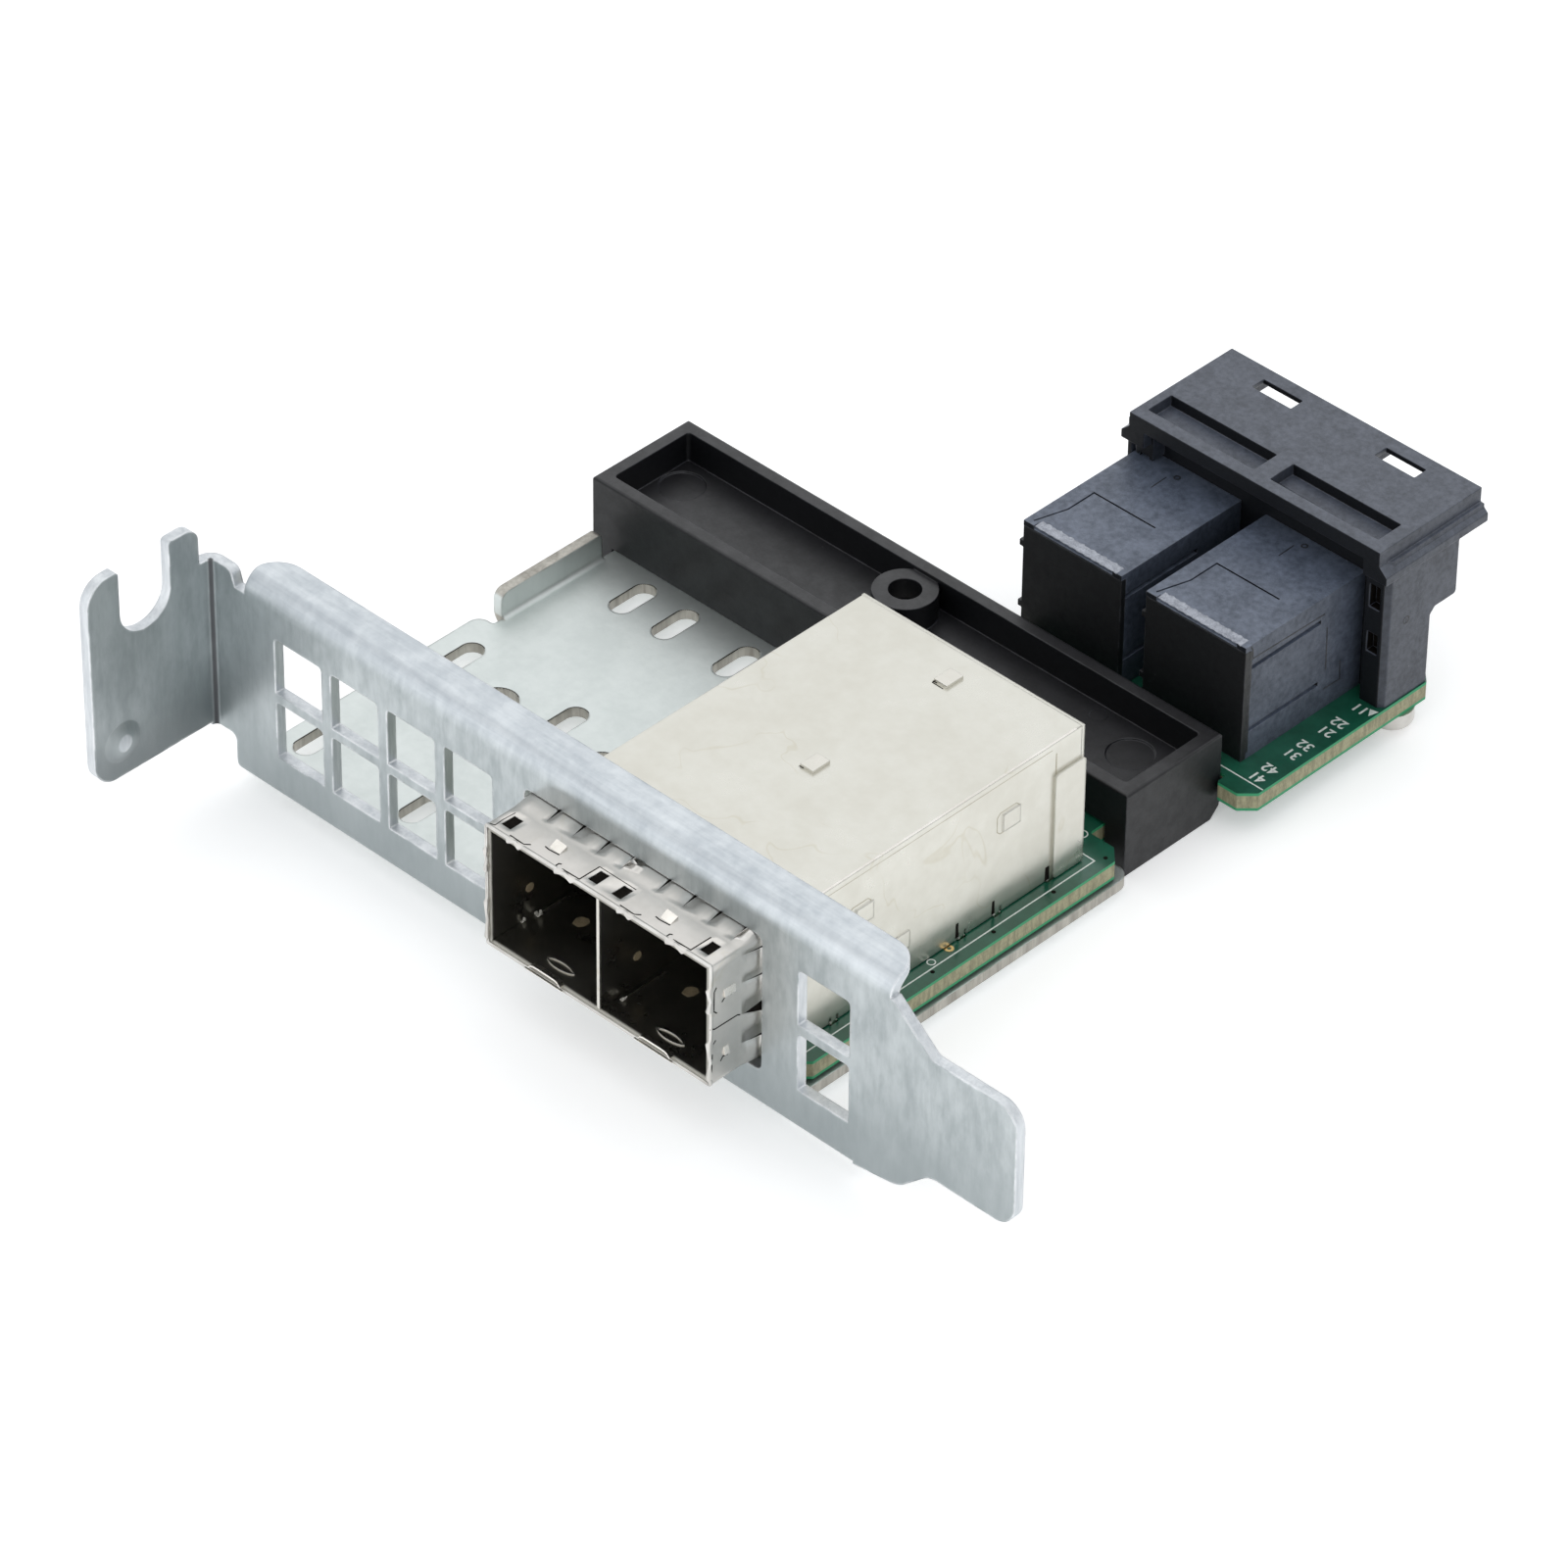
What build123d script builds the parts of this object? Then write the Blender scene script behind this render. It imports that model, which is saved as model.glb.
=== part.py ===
from build123d import *
import os
from math import acos, sin, tan

# Adapter card that carries two external ports to two internal sockets.
# Axes while building: X runs along the bracket from the screw tab to the tongue.
# Y = 0 is the bracket's outer face and +Y points into the chassis.
# Z = 0 is the underside of the tray. The parts are moved to the frame's origin on export.

# Folded sheet: bracket and tray
sheet = 0.86
bend_inner = 0.45
roll_inner = 0.95
bracket_length = 79.2
face_height = 18.9
flange_depth = 3.3
flange_start = 4.3
flange_end_corner = 2.4
fold_end = 64.3
relief_starts = (6.8, 10.0)
relief_width = 1.1
relief_height = 0.5

# Screw tab
tab_depth = 11.67
tab_low = 3.85
tab_width = 18.0
tab_corner = 2.0
tab_inner_edge = 1.1
tab_inner_corner = 1.3
tab_mouth_corner = 0.35
tab_slot_width = 4.8
tab_slot_centre = 6.3
tab_slot_depth = 6.2
bump_y = 9.0
bump_height = 3.0
bump_radius = 1.7
bump_rise = 0.35
neck_end = 2.9
neck_high = 18.4
neck_drop = 0.25

# Tongue and shoulders
tongue_low = 3.8
tongue_width = 10.3
tongue_start = 71.4
tongue_corner = 1.8
tongue_root = 1.9
shoulder_start = 67.5
shoulder_high = 17.4
foot_end = 68.6
foot_low = 1.2
foot_corner = 2.4

# Windows of the bracket
window_start = 7.27
window_pitch = 5.75
window_width = 4.82
window_columns = 4
lower_row = 4.0
lower_row_height = 5.0
row_bar = 0.8
upper_row_height = 4.85
right_window = 58.98
window_corner = 0.35
port_cut_gap = 0.6
port_cut_gap_top = 0.35
port_cut_gap_low = 0.9
port_cut_corner = 0.6

# Tray
tray_left = 2.6
tray_margin = 0.3
tray_corner = 1.2
tray_neck_lead = 0.9
tray_end_inset = 0.8
side_flange_start = 25.4
side_flange_lead = 1.3
side_flange_height = 3.1
side_flange_face = 4.1
side_flange_corner = 0.8
wide_end = 24.5
slot_length = 4.2
slot_width = 1.9
slot_places = (
    (9.2, 33.9),
    (13.6, 33.9),
    (19.9, 33.9),
    (5.3, 20.0),
    (16.1, 20.0),
    (4.9, 6.0),
    (15.9, 6.0),
)
hole_places = ((10.9, 18.3), (21.6, 18.3))
hole_radius = 1.6

# Board and the film under it
film_thickness = 0.25
board_thickness = 1.6
board_front = 3.5
board_margin_left = 2.15
board_margin_right = 1.9
notch_lead = 1.3
notch_return = 0.7
board_rear_margin_left = 0.2
board_rear_margin_right = 0.1
board_past_wall = 4.8
board_chamfer = 1.1
film_inset = 0.6

# Cage of the external ports
cage_sheet = 0.25
cage_centre = 44.05
cage_width = 21.4
cage_height = 12.24
cage_nose = 4.3
cage_end = 32.85
cage_floor_low = 4.7
cage_lift = 0.12
cage_leg_start = 3.4
floor_end = 17.0
pin_width = 0.7
pin_length = 1.35
pin_play = 0.12
pin_places = (8.0, 14.0, 20.9, 24.5, 30.0)
pad_places = ((25.7, 10.75), (10.9, 10.75), (14.6, 5.9))
pad_size = (1.7, 1.5)
pad_height = 0.12
flap_length = 2.8
flap_height = 9.3
cover_gap = 0.3
divider_tab_places = (16.5, 30.0)
divider_tab_length = 1.7
divider_tab_reach = 1.0
louvre_length = 1.6
louvre_radius = 0.5
louvre_start = 0.15

# Sprung collar around the nose
collar_sheet = 0.2
collar_front = 4.5
collar_back = 0.45
collar_lip = 0.45
finger_slit = 0.16
finger_length = 1.55
finger_pitch = 2.44
finger_start = 0.25
slits_per_port = 5
collar_window = 0.85
collar_window_inset = 1.15
collar_window_y = 2.85
side_slit_heights = (14.55, 12.15, 9.3, 6.85)

# External receptacles
receptacle_gap = 0.15
receptacle_front = 17.6
receptacle_top_gap = 0.3
card_slot_width = 8.2
card_slot_height = 1.7
card_slot_depth = 6.5
external_slot_heights = (5.0, 9.0)
receptacle_nose = 2.6
receptacle_nose_inset = 0.7

# Contacts, external and internal
contacts_per_row = 9
contact_pitch = 0.75
contact_width = 0.32
contact_thickness = 0.22
contact_setback = 0.7

# Moulded bar
bar_left = 1.8
bar_right = 55.45
bar_front = 37.1
bar_depth = 10.1
bar_top = 6.54
bar_wall = 1.15
bar_floor = 1.0
bar_gap = 0.25
bar_post_width = 2.0
bar_post_drop = 0.87
bar_post_corner = 0.9
boss_x = 27.35
boss_radius = 2.5
boss_drop = 0.35
boss_merge = 0.3
boss_bore = 1.25
ejector_radius = 1.8
ejector_depth = 0.15
ejector_places = ((4.9, 43.4), (50.2, 43.3))
lug_length = 1.2
lug_width = 1.4
lug_height = 0.7
bar_edge = 0.25

# Screw through the tray into the bar's boss
screw_play = 0.08
screw_tip = 2.2
screw_head_radius = 2.3
screw_head_height = 0.75
screw_clear = 0.3
screw_socket_radius = 0.8
screw_socket_depth = 0.4

# Shroud of the internal sockets
shroud_left = 34.1
shroud_width = 24.2
shroud_wall = 62.2
shroud_depth = 9.1
shroud_height = 14.53
plate_thickness = 1.25
plate_overhang = 2.05
body_margin = 0.35
ear_depth = 1.25
ear_width = 2.1
ear_chamfer = 0.45
ear_gap = 0.15
ear_skirt = 0.4
ear_skirt_depth = 2.5
shelf_wall = 0.8
shroud_shelf_depth = 6.5
shroud_foot_depth = 3.7
shelf_chamfer = 0.5
rib_reach = 0.75
rib_thickness = 1.39
rib_edge = 0.7
socket_width = 10.2
socket_web = 1.7
socket_roof = 0.29
socket_height = 5.6
socket_depth = 5.2
pocket_inset = 1.15
pocket_length = 2.5
pocket_width = 10.3
pocket_shift = -0.2
pocket_depth = 0.95
latch_inset = 1.25
latch_length = 1.3
latch_width = 3.8
latch_skin = 0.45
latch_room = 0.5
internal_slot_depth = 3.2
internal_slot_heights = (0.7, 3.3)
internal_slot_height = 1.5
ear_window_lows = (4.6, 8.6)
ear_window_heights = (1.8, 2.1)
ear_window_width = 1.0
ear_window_inset = 0.75
ear_window_depth = 0.8

# Terminal blocks between the bar and the shroud
block_width = 9.6
block_inset = 0.1
block_pitch = 12.0
block_length = 12.9
block_height = 10.33
slit_width = 0.14
slit_depth = 0.5
slit_path = ((0.6, 0.5), (1.4, 3.2), (1.4, 6.0), (7.35, 6.0))
groove_height = 0.4
groove_depth = 0.3
groove_length = 8.2
side_grooves = (2.4, 8.05)
bevel_depth = 0.35
bevel_length = 0.5
bevel_insets = (1.0, 0.9)
front_plate_thickness = 0.5
front_plate_drop = 0.45
peg_size = 0.55
peg_heights = (2.4, 7.9)
peg_reach = 0.35

# Screws that hold the shroud to the board
shroud_screw_inset = 0.95
shroud_screw_depth = 1.6
shroud_screw_radius = 0.7
shroud_screw_head = 1.7
shroud_screw_head_height = 1.45
shroud_screw_grip = 4.0
shroud_screw_play = 0.1

# Sizes that follow from the ones above
board_low = sheet + film_thickness
board_top = board_low + board_thickness
cage_top = board_top + cage_height
cage_left = cage_centre - cage_width / 2
cage_right = cage_centre + cage_width / 2
board_left = cage_left - board_margin_left
board_right = cage_right + board_margin_right
tray_right = board_right + tray_margin
collar_left = cage_left - collar_sheet
collar_right = cage_right + collar_sheet
collar_top = cage_top + collar_sheet
collar_low = cage_floor_low - collar_sheet
bar_end = bar_front + bar_depth
side_flange_end = bar_front - side_flange_lead
tray_neck_y = bar_front - tray_neck_lead
tray_end = bar_end - tray_end_inset
board_notch_start = bar_front - notch_lead
board_notch_end = bar_end - notch_return
bar_over_board = board_top + bar_gap
boss_y = bar_end - bar_wall - boss_radius + boss_merge
tab_high = tab_low + tab_width
neck_low = tab_low - neck_drop
shroud_right = shroud_left + shroud_width
shroud_end = shroud_wall + shroud_depth
shroud_top = board_top + shroud_height
plate_low = shroud_top - plate_thickness
plate_front = shroud_wall - plate_overhang
socket_low = plate_low - socket_roof - socket_height
board_end = shroud_wall + board_past_wall
upper_row = lower_row + lower_row_height + row_bar
tongue_high = tongue_low + tongue_width
post_inner_left = bar_left + bar_post_width
post_inner_right = bar_right - bar_post_width
socket_lefts = (
    shroud_left + (shroud_width - socket_web) / 2 - socket_width,
    shroud_left + (shroud_width + socket_web) / 2,
)
body_left = shroud_left - body_margin
body_right = shroud_right + body_margin
board_rear_left = body_left - board_rear_margin_left
board_rear_right = body_right + board_rear_margin_right
block_left = body_left + block_inset
block_lefts = (block_left, block_left + block_pitch)
block_front = shroud_wall - block_length
block_top = board_top + block_height
shift = (
    -bracket_length / 2,
    -(shroud_end - tab_depth) / 2,
    bar_post_drop,
)


def box(x0, x1, y0, y1, z0, z1):
    """A box given by its two limits on each axis."""
    centre = Pos((x0 + x1) / 2, (y0 + y1) / 2, (z0 + z1) / 2)
    return centre * Box(x1 - x0, y1 - y0, z1 - z0)


def corner_turns(corners):
    """Unit vectors from each corner to its neighbours, and half the angle between them."""
    points = [Vector(x, y) for x, y, radius in corners]
    turns = []
    for i, here in enumerate(points):
        before = (points[i - 1] - here).normalized()
        after = (points[(i + 1) % len(points)] - here).normalized()
        half = acos(max(-1.0, min(1.0, before.dot(after)))) / 2
        turns.append((here, before, after, half))
    return turns


def corner_reaches(corners, turns):
    """How far each rounding reaches along its edges, limited by the edges' lengths."""
    reaches = [radius / tan(turn[3]) for (x, y, radius), turn in zip(corners, turns)]
    for i, turn in enumerate(turns):
        length = (turn[0] - turns[i - 1][0]).length
        total = reaches[i - 1] + reaches[i]
        if total > length:
            share = 0.999 * length / total
            reaches[i - 1] *= share
            reaches[i] *= share
    return reaches


def outline(corners):
    """A closed face from (x, y, radius) corners; radius 0 keeps a corner sharp."""
    ends = []
    edges = []
    turns = corner_turns(corners)
    for (here, before, after, half), reach in zip(turns, corner_reaches(corners, turns)):
        if reach == 0:
            ends.append((here, here))
            continue
        radius = reach * tan(half)
        first = here + before * reach
        last = here + after * reach
        middle = here + (before + after).normalized() * (radius / sin(half) - radius)
        edges.append(ThreePointArc(first, middle, last))
        ends.append((first, last))
    for i, (first, last) in enumerate(ends):
        edges.append(Line(ends[i - 1][1], first))
    return make_face(edges)


def slab_xy(corners, z0, z1):
    """A plate whose outline lies in X and Y."""
    return Pos(0, 0, z0) * extrude(outline(corners), z1 - z0)


def slab_xz(corners, y0, y1):
    """A plate whose outline lies in X and Z."""
    plane = Plane(origin=(0, y1, 0), x_dir=(1, 0, 0), z_dir=(0, -1, 0))
    return extrude(plane * outline(corners), y1 - y0)


def slab_yz(corners, x0, x1):
    """A plate whose outline lies in Y and Z."""
    plane = Plane(origin=(x0, 0, 0), x_dir=(0, 1, 0), z_dir=(1, 0, 0))
    return extrude(plane * outline(corners), x1 - x0)


def rod(x, y, z0, z1, radius):
    """An upright cylinder."""
    return Pos(x, y, (z0 + z1) / 2) * Cylinder(radius, z1 - z0)


def dome(radius, rise):
    """A shallow round cap that rises along X from the origin, with a foot as deep as its rise."""
    edges = [
        Line((-rise, 0), (rise, 0)),
        ThreePointArc((rise, 0), (rise * 3 / 4, radius / 2), (0, radius)),
        Line((0, radius), (-rise, radius)),
        Line((-rise, radius), (-rise, 0)),
    ]
    return revolve(make_face(edges), Axis.X)


def quarter(inner, outer):
    """A quarter of a ring in its own XY plane, in the corner where both axes are negative."""
    ring = Circle(outer) - Circle(inner)
    corner = Pos(-outer, -outer) * Rectangle(2 * outer, 2 * outer)
    return ring & corner


def bend_x(y, z, inner, x0, x1, side):
    """A bend along X, centred at (y, z); side says which Z side of the centre it is on."""
    outer = inner + sheet
    ring = quarter(inner, outer)
    plane = Plane(origin=(x0, y, z), x_dir=(0, 1, 0), z_dir=(1, 0, 0))
    if side > 0:
        ring = mirror(ring, about=Plane.XZ)
    return extrude(plane * ring, x1 - x0)


def face_plate():
    """The flat of the bracket's face with its neck, shoulders and tongue."""
    bend = bend_inner + sheet
    roll = roll_inner + sheet
    low = [
        (bend, neck_low, 0),
        (neck_end, neck_low, 0.6),
        (neck_end, foot_low / 2, 0.4),
        (fold_end, foot_low / 2, 0),
        (foot_end, foot_low, foot_corner),
        (tongue_start, tongue_low, tongue_root),
        (bracket_length, tongue_low, tongue_corner),
    ]
    high = [
        (bracket_length, tongue_high, tongue_corner),
        (tongue_start, tongue_high, 0.6),
        (shoulder_start, shoulder_high, 0.5),
        (shoulder_start, face_height - roll, 0),
        (neck_end + 0.4, face_height - roll, 0),
        (neck_end, neck_high, 0.6),
        (bend, neck_high, 0),
    ]
    plate = slab_xz(low + high, 0, sheet)
    plate -= box(neck_end, fold_end, -sheet, 2 * sheet, 0, bend)
    return plate


def face_bends():
    """The rolled top flange and the fold between the face and the tray."""
    bend = bend_inner + sheet
    roll = roll_inner + sheet
    top = bend_x(roll, face_height - roll, roll_inner, flange_start, shoulder_start, 1)
    flange = [
        (flange_start, roll, 0),
        (shoulder_start, roll, 0),
        (shoulder_start, flange_depth, 0),
        (flange_start, flange_depth, 0),
    ]
    top += slab_xy(flange, face_height - sheet, face_height)
    plan = [
        (flange_start, -sheet, 0),
        (shoulder_start, -sheet, 0),
        (shoulder_start, flange_depth, flange_end_corner),
        (flange_start, flange_depth, flange_end_corner),
    ]
    top &= slab_xy(plan, face_height - roll - sheet, face_height + sheet)
    fold = bend_x(bend, bend, bend_inner, neck_end, fold_end, -1)
    for start in relief_starts:
        fold -= box(start, start + relief_width, -sheet, 2 * bend, -sheet, relief_height)
    return top + fold


def face_cuts():
    """The windows and the cut for the port cage."""
    cuts = []
    rows = ((lower_row, lower_row_height), (upper_row, upper_row_height))
    lefts = [window_start + i * window_pitch for i in range(window_columns)]
    for left in lefts + [right_window]:
        for low, height in rows:
            corners = [
                (left, low, 0),
                (left + window_width, low, 0),
                (left + window_width, low + height, window_corner),
                (left, low + height, window_corner),
            ]
            cuts.append(slab_xz(corners, -sheet, 2 * sheet))
    x0 = collar_left - port_cut_gap
    x1 = collar_right + port_cut_gap
    z0 = collar_low - port_cut_gap_low
    z1 = collar_top + port_cut_gap_top
    corners = [
        (x0, z0, port_cut_corner),
        (x1, z0, port_cut_corner),
        (x1, z1, port_cut_corner),
        (x0, z1, port_cut_corner),
    ]
    cuts.append(slab_xz(corners, -sheet, 2 * sheet))
    return cuts


def screw_tab():
    """The tab that the chassis screw holds, with its bend, slot and pressed bump."""
    bend = bend_inner + sheet
    corners = [
        (-bend_inner, tab_low, 0),
        (-bend_inner, neck_high, 0),
        (-tab_inner_edge, neck_high, 0.2),
        (-tab_inner_edge, tab_high, tab_inner_corner),
        (-tab_slot_centre + tab_slot_width / 2, tab_high, tab_mouth_corner),
        (-tab_slot_centre + tab_slot_width / 2, tab_high - tab_slot_depth, tab_slot_width / 2 - 0.01),
        (-tab_slot_centre - tab_slot_width / 2, tab_high - tab_slot_depth, tab_slot_width / 2 - 0.01),
        (-tab_slot_centre - tab_slot_width / 2, tab_high, tab_mouth_corner),
        (-tab_depth, tab_high, tab_corner),
        (-tab_depth, tab_low, tab_corner),
    ]
    tab = slab_yz(corners, 0, sheet)
    ring = quarter(bend_inner, bend)
    ring = mirror(ring, about=Plane.XZ)
    corner = Plane(origin=(bend, -bend_inner, neck_low))
    tab += extrude(corner * ring, neck_high - neck_low)
    tab += Pos(sheet, -bump_y, tab_low + bump_height) * dome(bump_radius, bump_rise)
    return tab - Pos(0, -bump_y, tab_low + bump_height) * dome(bump_radius, bump_rise)


def tray_plate():
    """The flat of the tray with its slots and holes."""
    bend = bend_inner + sheet
    corners = [
        (tray_left, bend, 0),
        (tray_left, wide_end, 1.0),
        (side_flange_face, wide_end, 0.3),
        (side_flange_face, side_flange_start, 0),
        (side_flange_face, side_flange_end, 0),
        (post_inner_left + bar_gap, side_flange_end + 0.2, 0),
        (post_inner_left + bar_gap, tray_end, 0.5),
        (post_inner_right - bar_gap, tray_end, 0.5),
        (post_inner_right - bar_gap, tray_neck_y, 0.3),
        (tray_right, tray_neck_y, tray_corner),
        (tray_right, bend + 0.4, 0),
        (fold_end, bend + 0.4, 0),
        (fold_end, bend, 0),
    ]
    plate = slab_xy(corners, 0, sheet)
    plate += box(neck_end, fold_end, bend, bend + 0.4, 0, sheet)
    for x, y in slot_places:
        slot = Pos(x, y) * Rot(0, 0, 90) * SlotOverall(slot_length, slot_width)
        plate -= Pos(0, 0, -sheet) * extrude(slot, 3 * sheet)
    for x, y in hole_places:
        plate -= rod(x, y, -sheet, 2 * sheet, hole_radius)
    plate -= rod(boss_x, boss_y, -sheet, 2 * sheet, boss_bore + screw_clear)
    return plate


def side_flange():
    """The short flange turned up along the tray's left edge."""
    bend = bend_inner + sheet
    centre_x = side_flange_face + bend_inner
    ring = quarter(bend_inner, bend)
    turn = Plane(origin=(centre_x, side_flange_end, bend), x_dir=(1, 0, 0), z_dir=(0, -1, 0))
    length = side_flange_end - side_flange_start
    flange = extrude(turn * ring, length)
    corners = [
        (side_flange_start, bend, 0),
        (side_flange_end, bend, 0),
        (side_flange_end, side_flange_height, side_flange_corner / 2),
        (side_flange_start, side_flange_height, side_flange_corner),
    ]
    flange += slab_yz(corners, side_flange_face - sheet, side_flange_face)
    return flange


def bracket_tray():
    """The bracket, its fold, the tray and the screw tab: one folded sheet."""
    sheet_part = face_plate() + face_bends() + screw_tab()
    for cut in face_cuts():
        sheet_part -= cut
    tray = tray_plate()
    length = (side_flange_start, side_flange_end)
    edge = side_flange_face + bend_inner
    tray -= box(tray_left - 1, edge, length[0], length[1], -sheet, 2 * sheet)
    return sheet_part + tray + side_flange()


def board_outline(inset):
    """The board's outline drawn in by a distance."""
    chamfer = board_chamfer
    return [
        (board_left + inset, board_front + inset, 0.3),
        (board_right - inset - 0.5, board_front + inset, 0.2),
        (board_right - inset, board_front + inset + 0.5, 0.2),
        (board_right - inset, board_notch_start - inset - chamfer, 0.2),
        (board_right - inset - chamfer, board_notch_start - inset, 0.2),
        (post_inner_right - bar_gap - inset, board_notch_start - inset, 0.3),
        (post_inner_right - bar_gap - inset, bar_end + bar_gap + inset, 0.3),
        (bar_right + bar_gap + inset, bar_end + bar_gap + inset, 0),
        (bar_right + bar_gap + inset, board_notch_end + inset, 0.2),
        (board_rear_right - inset - chamfer, board_notch_end + inset, 0.2),
        (board_rear_right - inset, board_notch_end + inset + chamfer, 0.2),
        (board_rear_right - inset, board_end - inset - chamfer, 0.2),
        (board_rear_right - inset - chamfer, board_end - inset, 0.2),
        (board_rear_left + inset, board_end - inset, 0.3),
        (board_rear_left + inset, board_notch_end + inset, 0.3),
        (board_left + inset, board_notch_end + inset, 0.3),
    ]


def shroud_screw_places():
    """Where the two screws of the shroud stand."""
    left = shroud_left + shroud_screw_inset
    right = shroud_right - shroud_screw_inset
    y = shroud_wall + shroud_screw_depth
    return ((left, y), (right, y))


def cage_pin_cuts():
    """Slots in the board for the pins of the cage."""
    cuts = []
    for x in (cage_left, cage_right - cage_sheet):
        for y in pin_places:
            x0 = x - pin_play
            x1 = x + cage_sheet + pin_play
            half = pin_width / 2 + pin_play
            cuts.append(box(x0, x1, y - half, y + half, board_low - 1, board_top + 1))
    return cuts


def circuit_board():
    """The printed circuit board."""
    board = slab_xy(board_outline(0), board_low, board_top)
    for cut in cage_pin_cuts():
        board -= cut
    for x, y in shroud_screw_places():
        board -= rod(x, y, board_low - 1, board_top + 1, shroud_screw_radius + shroud_screw_play)
    return board


def insulating_film():
    """The film that keeps the board's solder side off the tray."""
    corners = [
        (board_left + film_inset, board_front + film_inset, 0.5),
        (board_right - film_inset, board_front + film_inset, 0.5),
        (board_right - film_inset, board_notch_start - film_inset, 0.5),
        (post_inner_right - bar_gap - film_inset, board_notch_start - film_inset, 0.3),
        (post_inner_right - bar_gap - film_inset, tray_end - film_inset, 0.5),
        (board_left + film_inset, tray_end - film_inset, 0.5),
    ]
    return slab_xy(corners, sheet, board_low)


def cage_side(x, outward):
    """One side wall of the cage with its pins and pressed pads."""
    corners = [
        (-cage_nose, cage_floor_low, 0),
        (cage_leg_start, cage_floor_low, 0),
        (cage_leg_start, board_top + cage_lift, 0),
        (cage_end, board_top + cage_lift, 0),
        (cage_end, cage_top, 0),
        (-cage_nose, cage_top, 0),
    ]
    wall = slab_yz(corners, x, x + cage_sheet)
    low = board_top - pin_length
    for y in pin_places:
        half = pin_width / 2
        wall += box(x, x + cage_sheet, y - half, y + half, low, board_top + 1)
        notch = board_top + cage_lift
        for edge in (y - half, y + half):
            wall -= box(x - 1, x + 1, edge - 0.1, edge + 0.1, notch - 0.01, notch + 0.45)
    for y, z in pad_places:
        x0 = x + cage_sheet if outward > 0 else x - pad_height
        length, height = pad_size
        y0 = y - length / 2
        z0 = z - height / 2
        wall += box(x0, x0 + pad_height, y0, y0 + length, z0, z0 + height)
    return wall


def cage_shell():
    """The cage's top and two sides, folded from one sheet."""
    top_low = cage_top - cage_sheet
    shell = box(cage_left, cage_right, -cage_nose, cage_end, top_low, cage_top)
    shell += cage_side(cage_left, -1)
    shell += cage_side(cage_right - cage_sheet, 1)
    long_edges = shell.edges().filter_by(Axis.Y).group_by(Axis.Z)[-1]
    outer = [edge for edge in long_edges if edge.length > cage_end]
    shell = fillet(outer, cage_sheet * 0.9)
    play = pin_play / 2
    wide = cage_sheet / 2 + play
    for y in divider_tab_places:
        y0 = y - divider_tab_length / 2 - play
        y1 = y + divider_tab_length / 2 + play
        shell -= box(cage_centre - wide, cage_centre + wide, y0, y1, top_low - 1, cage_top + 1)
    return shell


def cage_floor():
    """The cage's bottom plate with one louvre in each port."""
    gap = cage_sheet + 0.02
    low = cage_floor_low
    plate = box(cage_left + gap, cage_right - gap, -cage_nose, floor_end, low, low + cage_sheet)
    port = (cage_width - cage_sheet) / 4 + cage_sheet / 4
    y = -cage_nose + louvre_start + louvre_length / 2
    for x in (cage_centre - port, cage_centre + port):
        bump = Pos(x, y, low + cage_sheet) * Rot(90, 0, 0) * Cylinder(louvre_radius, louvre_length)
        plate += bump & box(x - 1, x + 1, y - 2, y + 2, low + cage_sheet, low + 2)
    return plate


def cage_divider():
    """The wall between the two ports, with tabs bent over on the cage's top."""
    half = cage_sheet / 2
    x0 = cage_centre - half
    x1 = cage_centre + half
    low = cage_floor_low + cage_sheet
    high = cage_top - cage_sheet
    wall = box(x0, x1, -cage_nose, cage_end - cover_gap, low, high)
    for y in divider_tab_places:
        y0 = y - divider_tab_length / 2
        y1 = y + divider_tab_length / 2
        wall += box(x0, x1, y0, y1, high, cage_top + cage_sheet)
        wall += box(x0, x1 + divider_tab_reach, y0, y1, cage_top, cage_top + cage_sheet)
    return wall


def cage_rear_cover():
    """The cage's rear plate, wrapped round both sides."""
    low = board_top + cage_lift
    back = cage_end + cage_sheet
    cover = box(cage_left, cage_right, cage_end, back, low, cage_top - 0.05)
    for x in (cage_left - cage_sheet, cage_right):
        corners = [
            (cage_end - flap_length, low, 0.3),
            (back, low, 0),
            (back, low + flap_height, 0.2),
            (cage_end - flap_length, low + flap_height, 0.3),
        ]
        cover += slab_yz(corners, x, x + cage_sheet)
    return cover


def collar_slits():
    """Cuts that part the collar's rear edge into fingers, and its small windows."""
    y0 = collar_back - finger_length
    cuts = []
    half = finger_slit / 2
    for port_left in (cage_left, cage_centre):
        for i in range(slits_per_port):
            x = port_left + finger_start + i * finger_pitch
            for z0, z1 in ((collar_top - 0.7, collar_top + 1), (collar_low - 1, collar_low + 0.7)):
                cuts.append(box(x - half, x + half, y0, collar_back + 1, z0, z1))
    for z in side_slit_heights:
        for x0, x1 in ((collar_left - 1, collar_left + 0.7), (collar_right - 0.7, collar_right + 1)):
            cuts.append(box(x0, x1, y0, collar_back + 1, z - half, z + half))
    size = collar_window / 2
    for port_left in (cage_left, cage_centre):
        port_right = port_left + cage_width / 2
        for x in (port_left + collar_window_inset, port_right - collar_window_inset):
            y = -collar_window_y
            cuts.append(box(x - size, x + size, y - size, y + size, cage_top, collar_top + 1))
    return cuts


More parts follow.
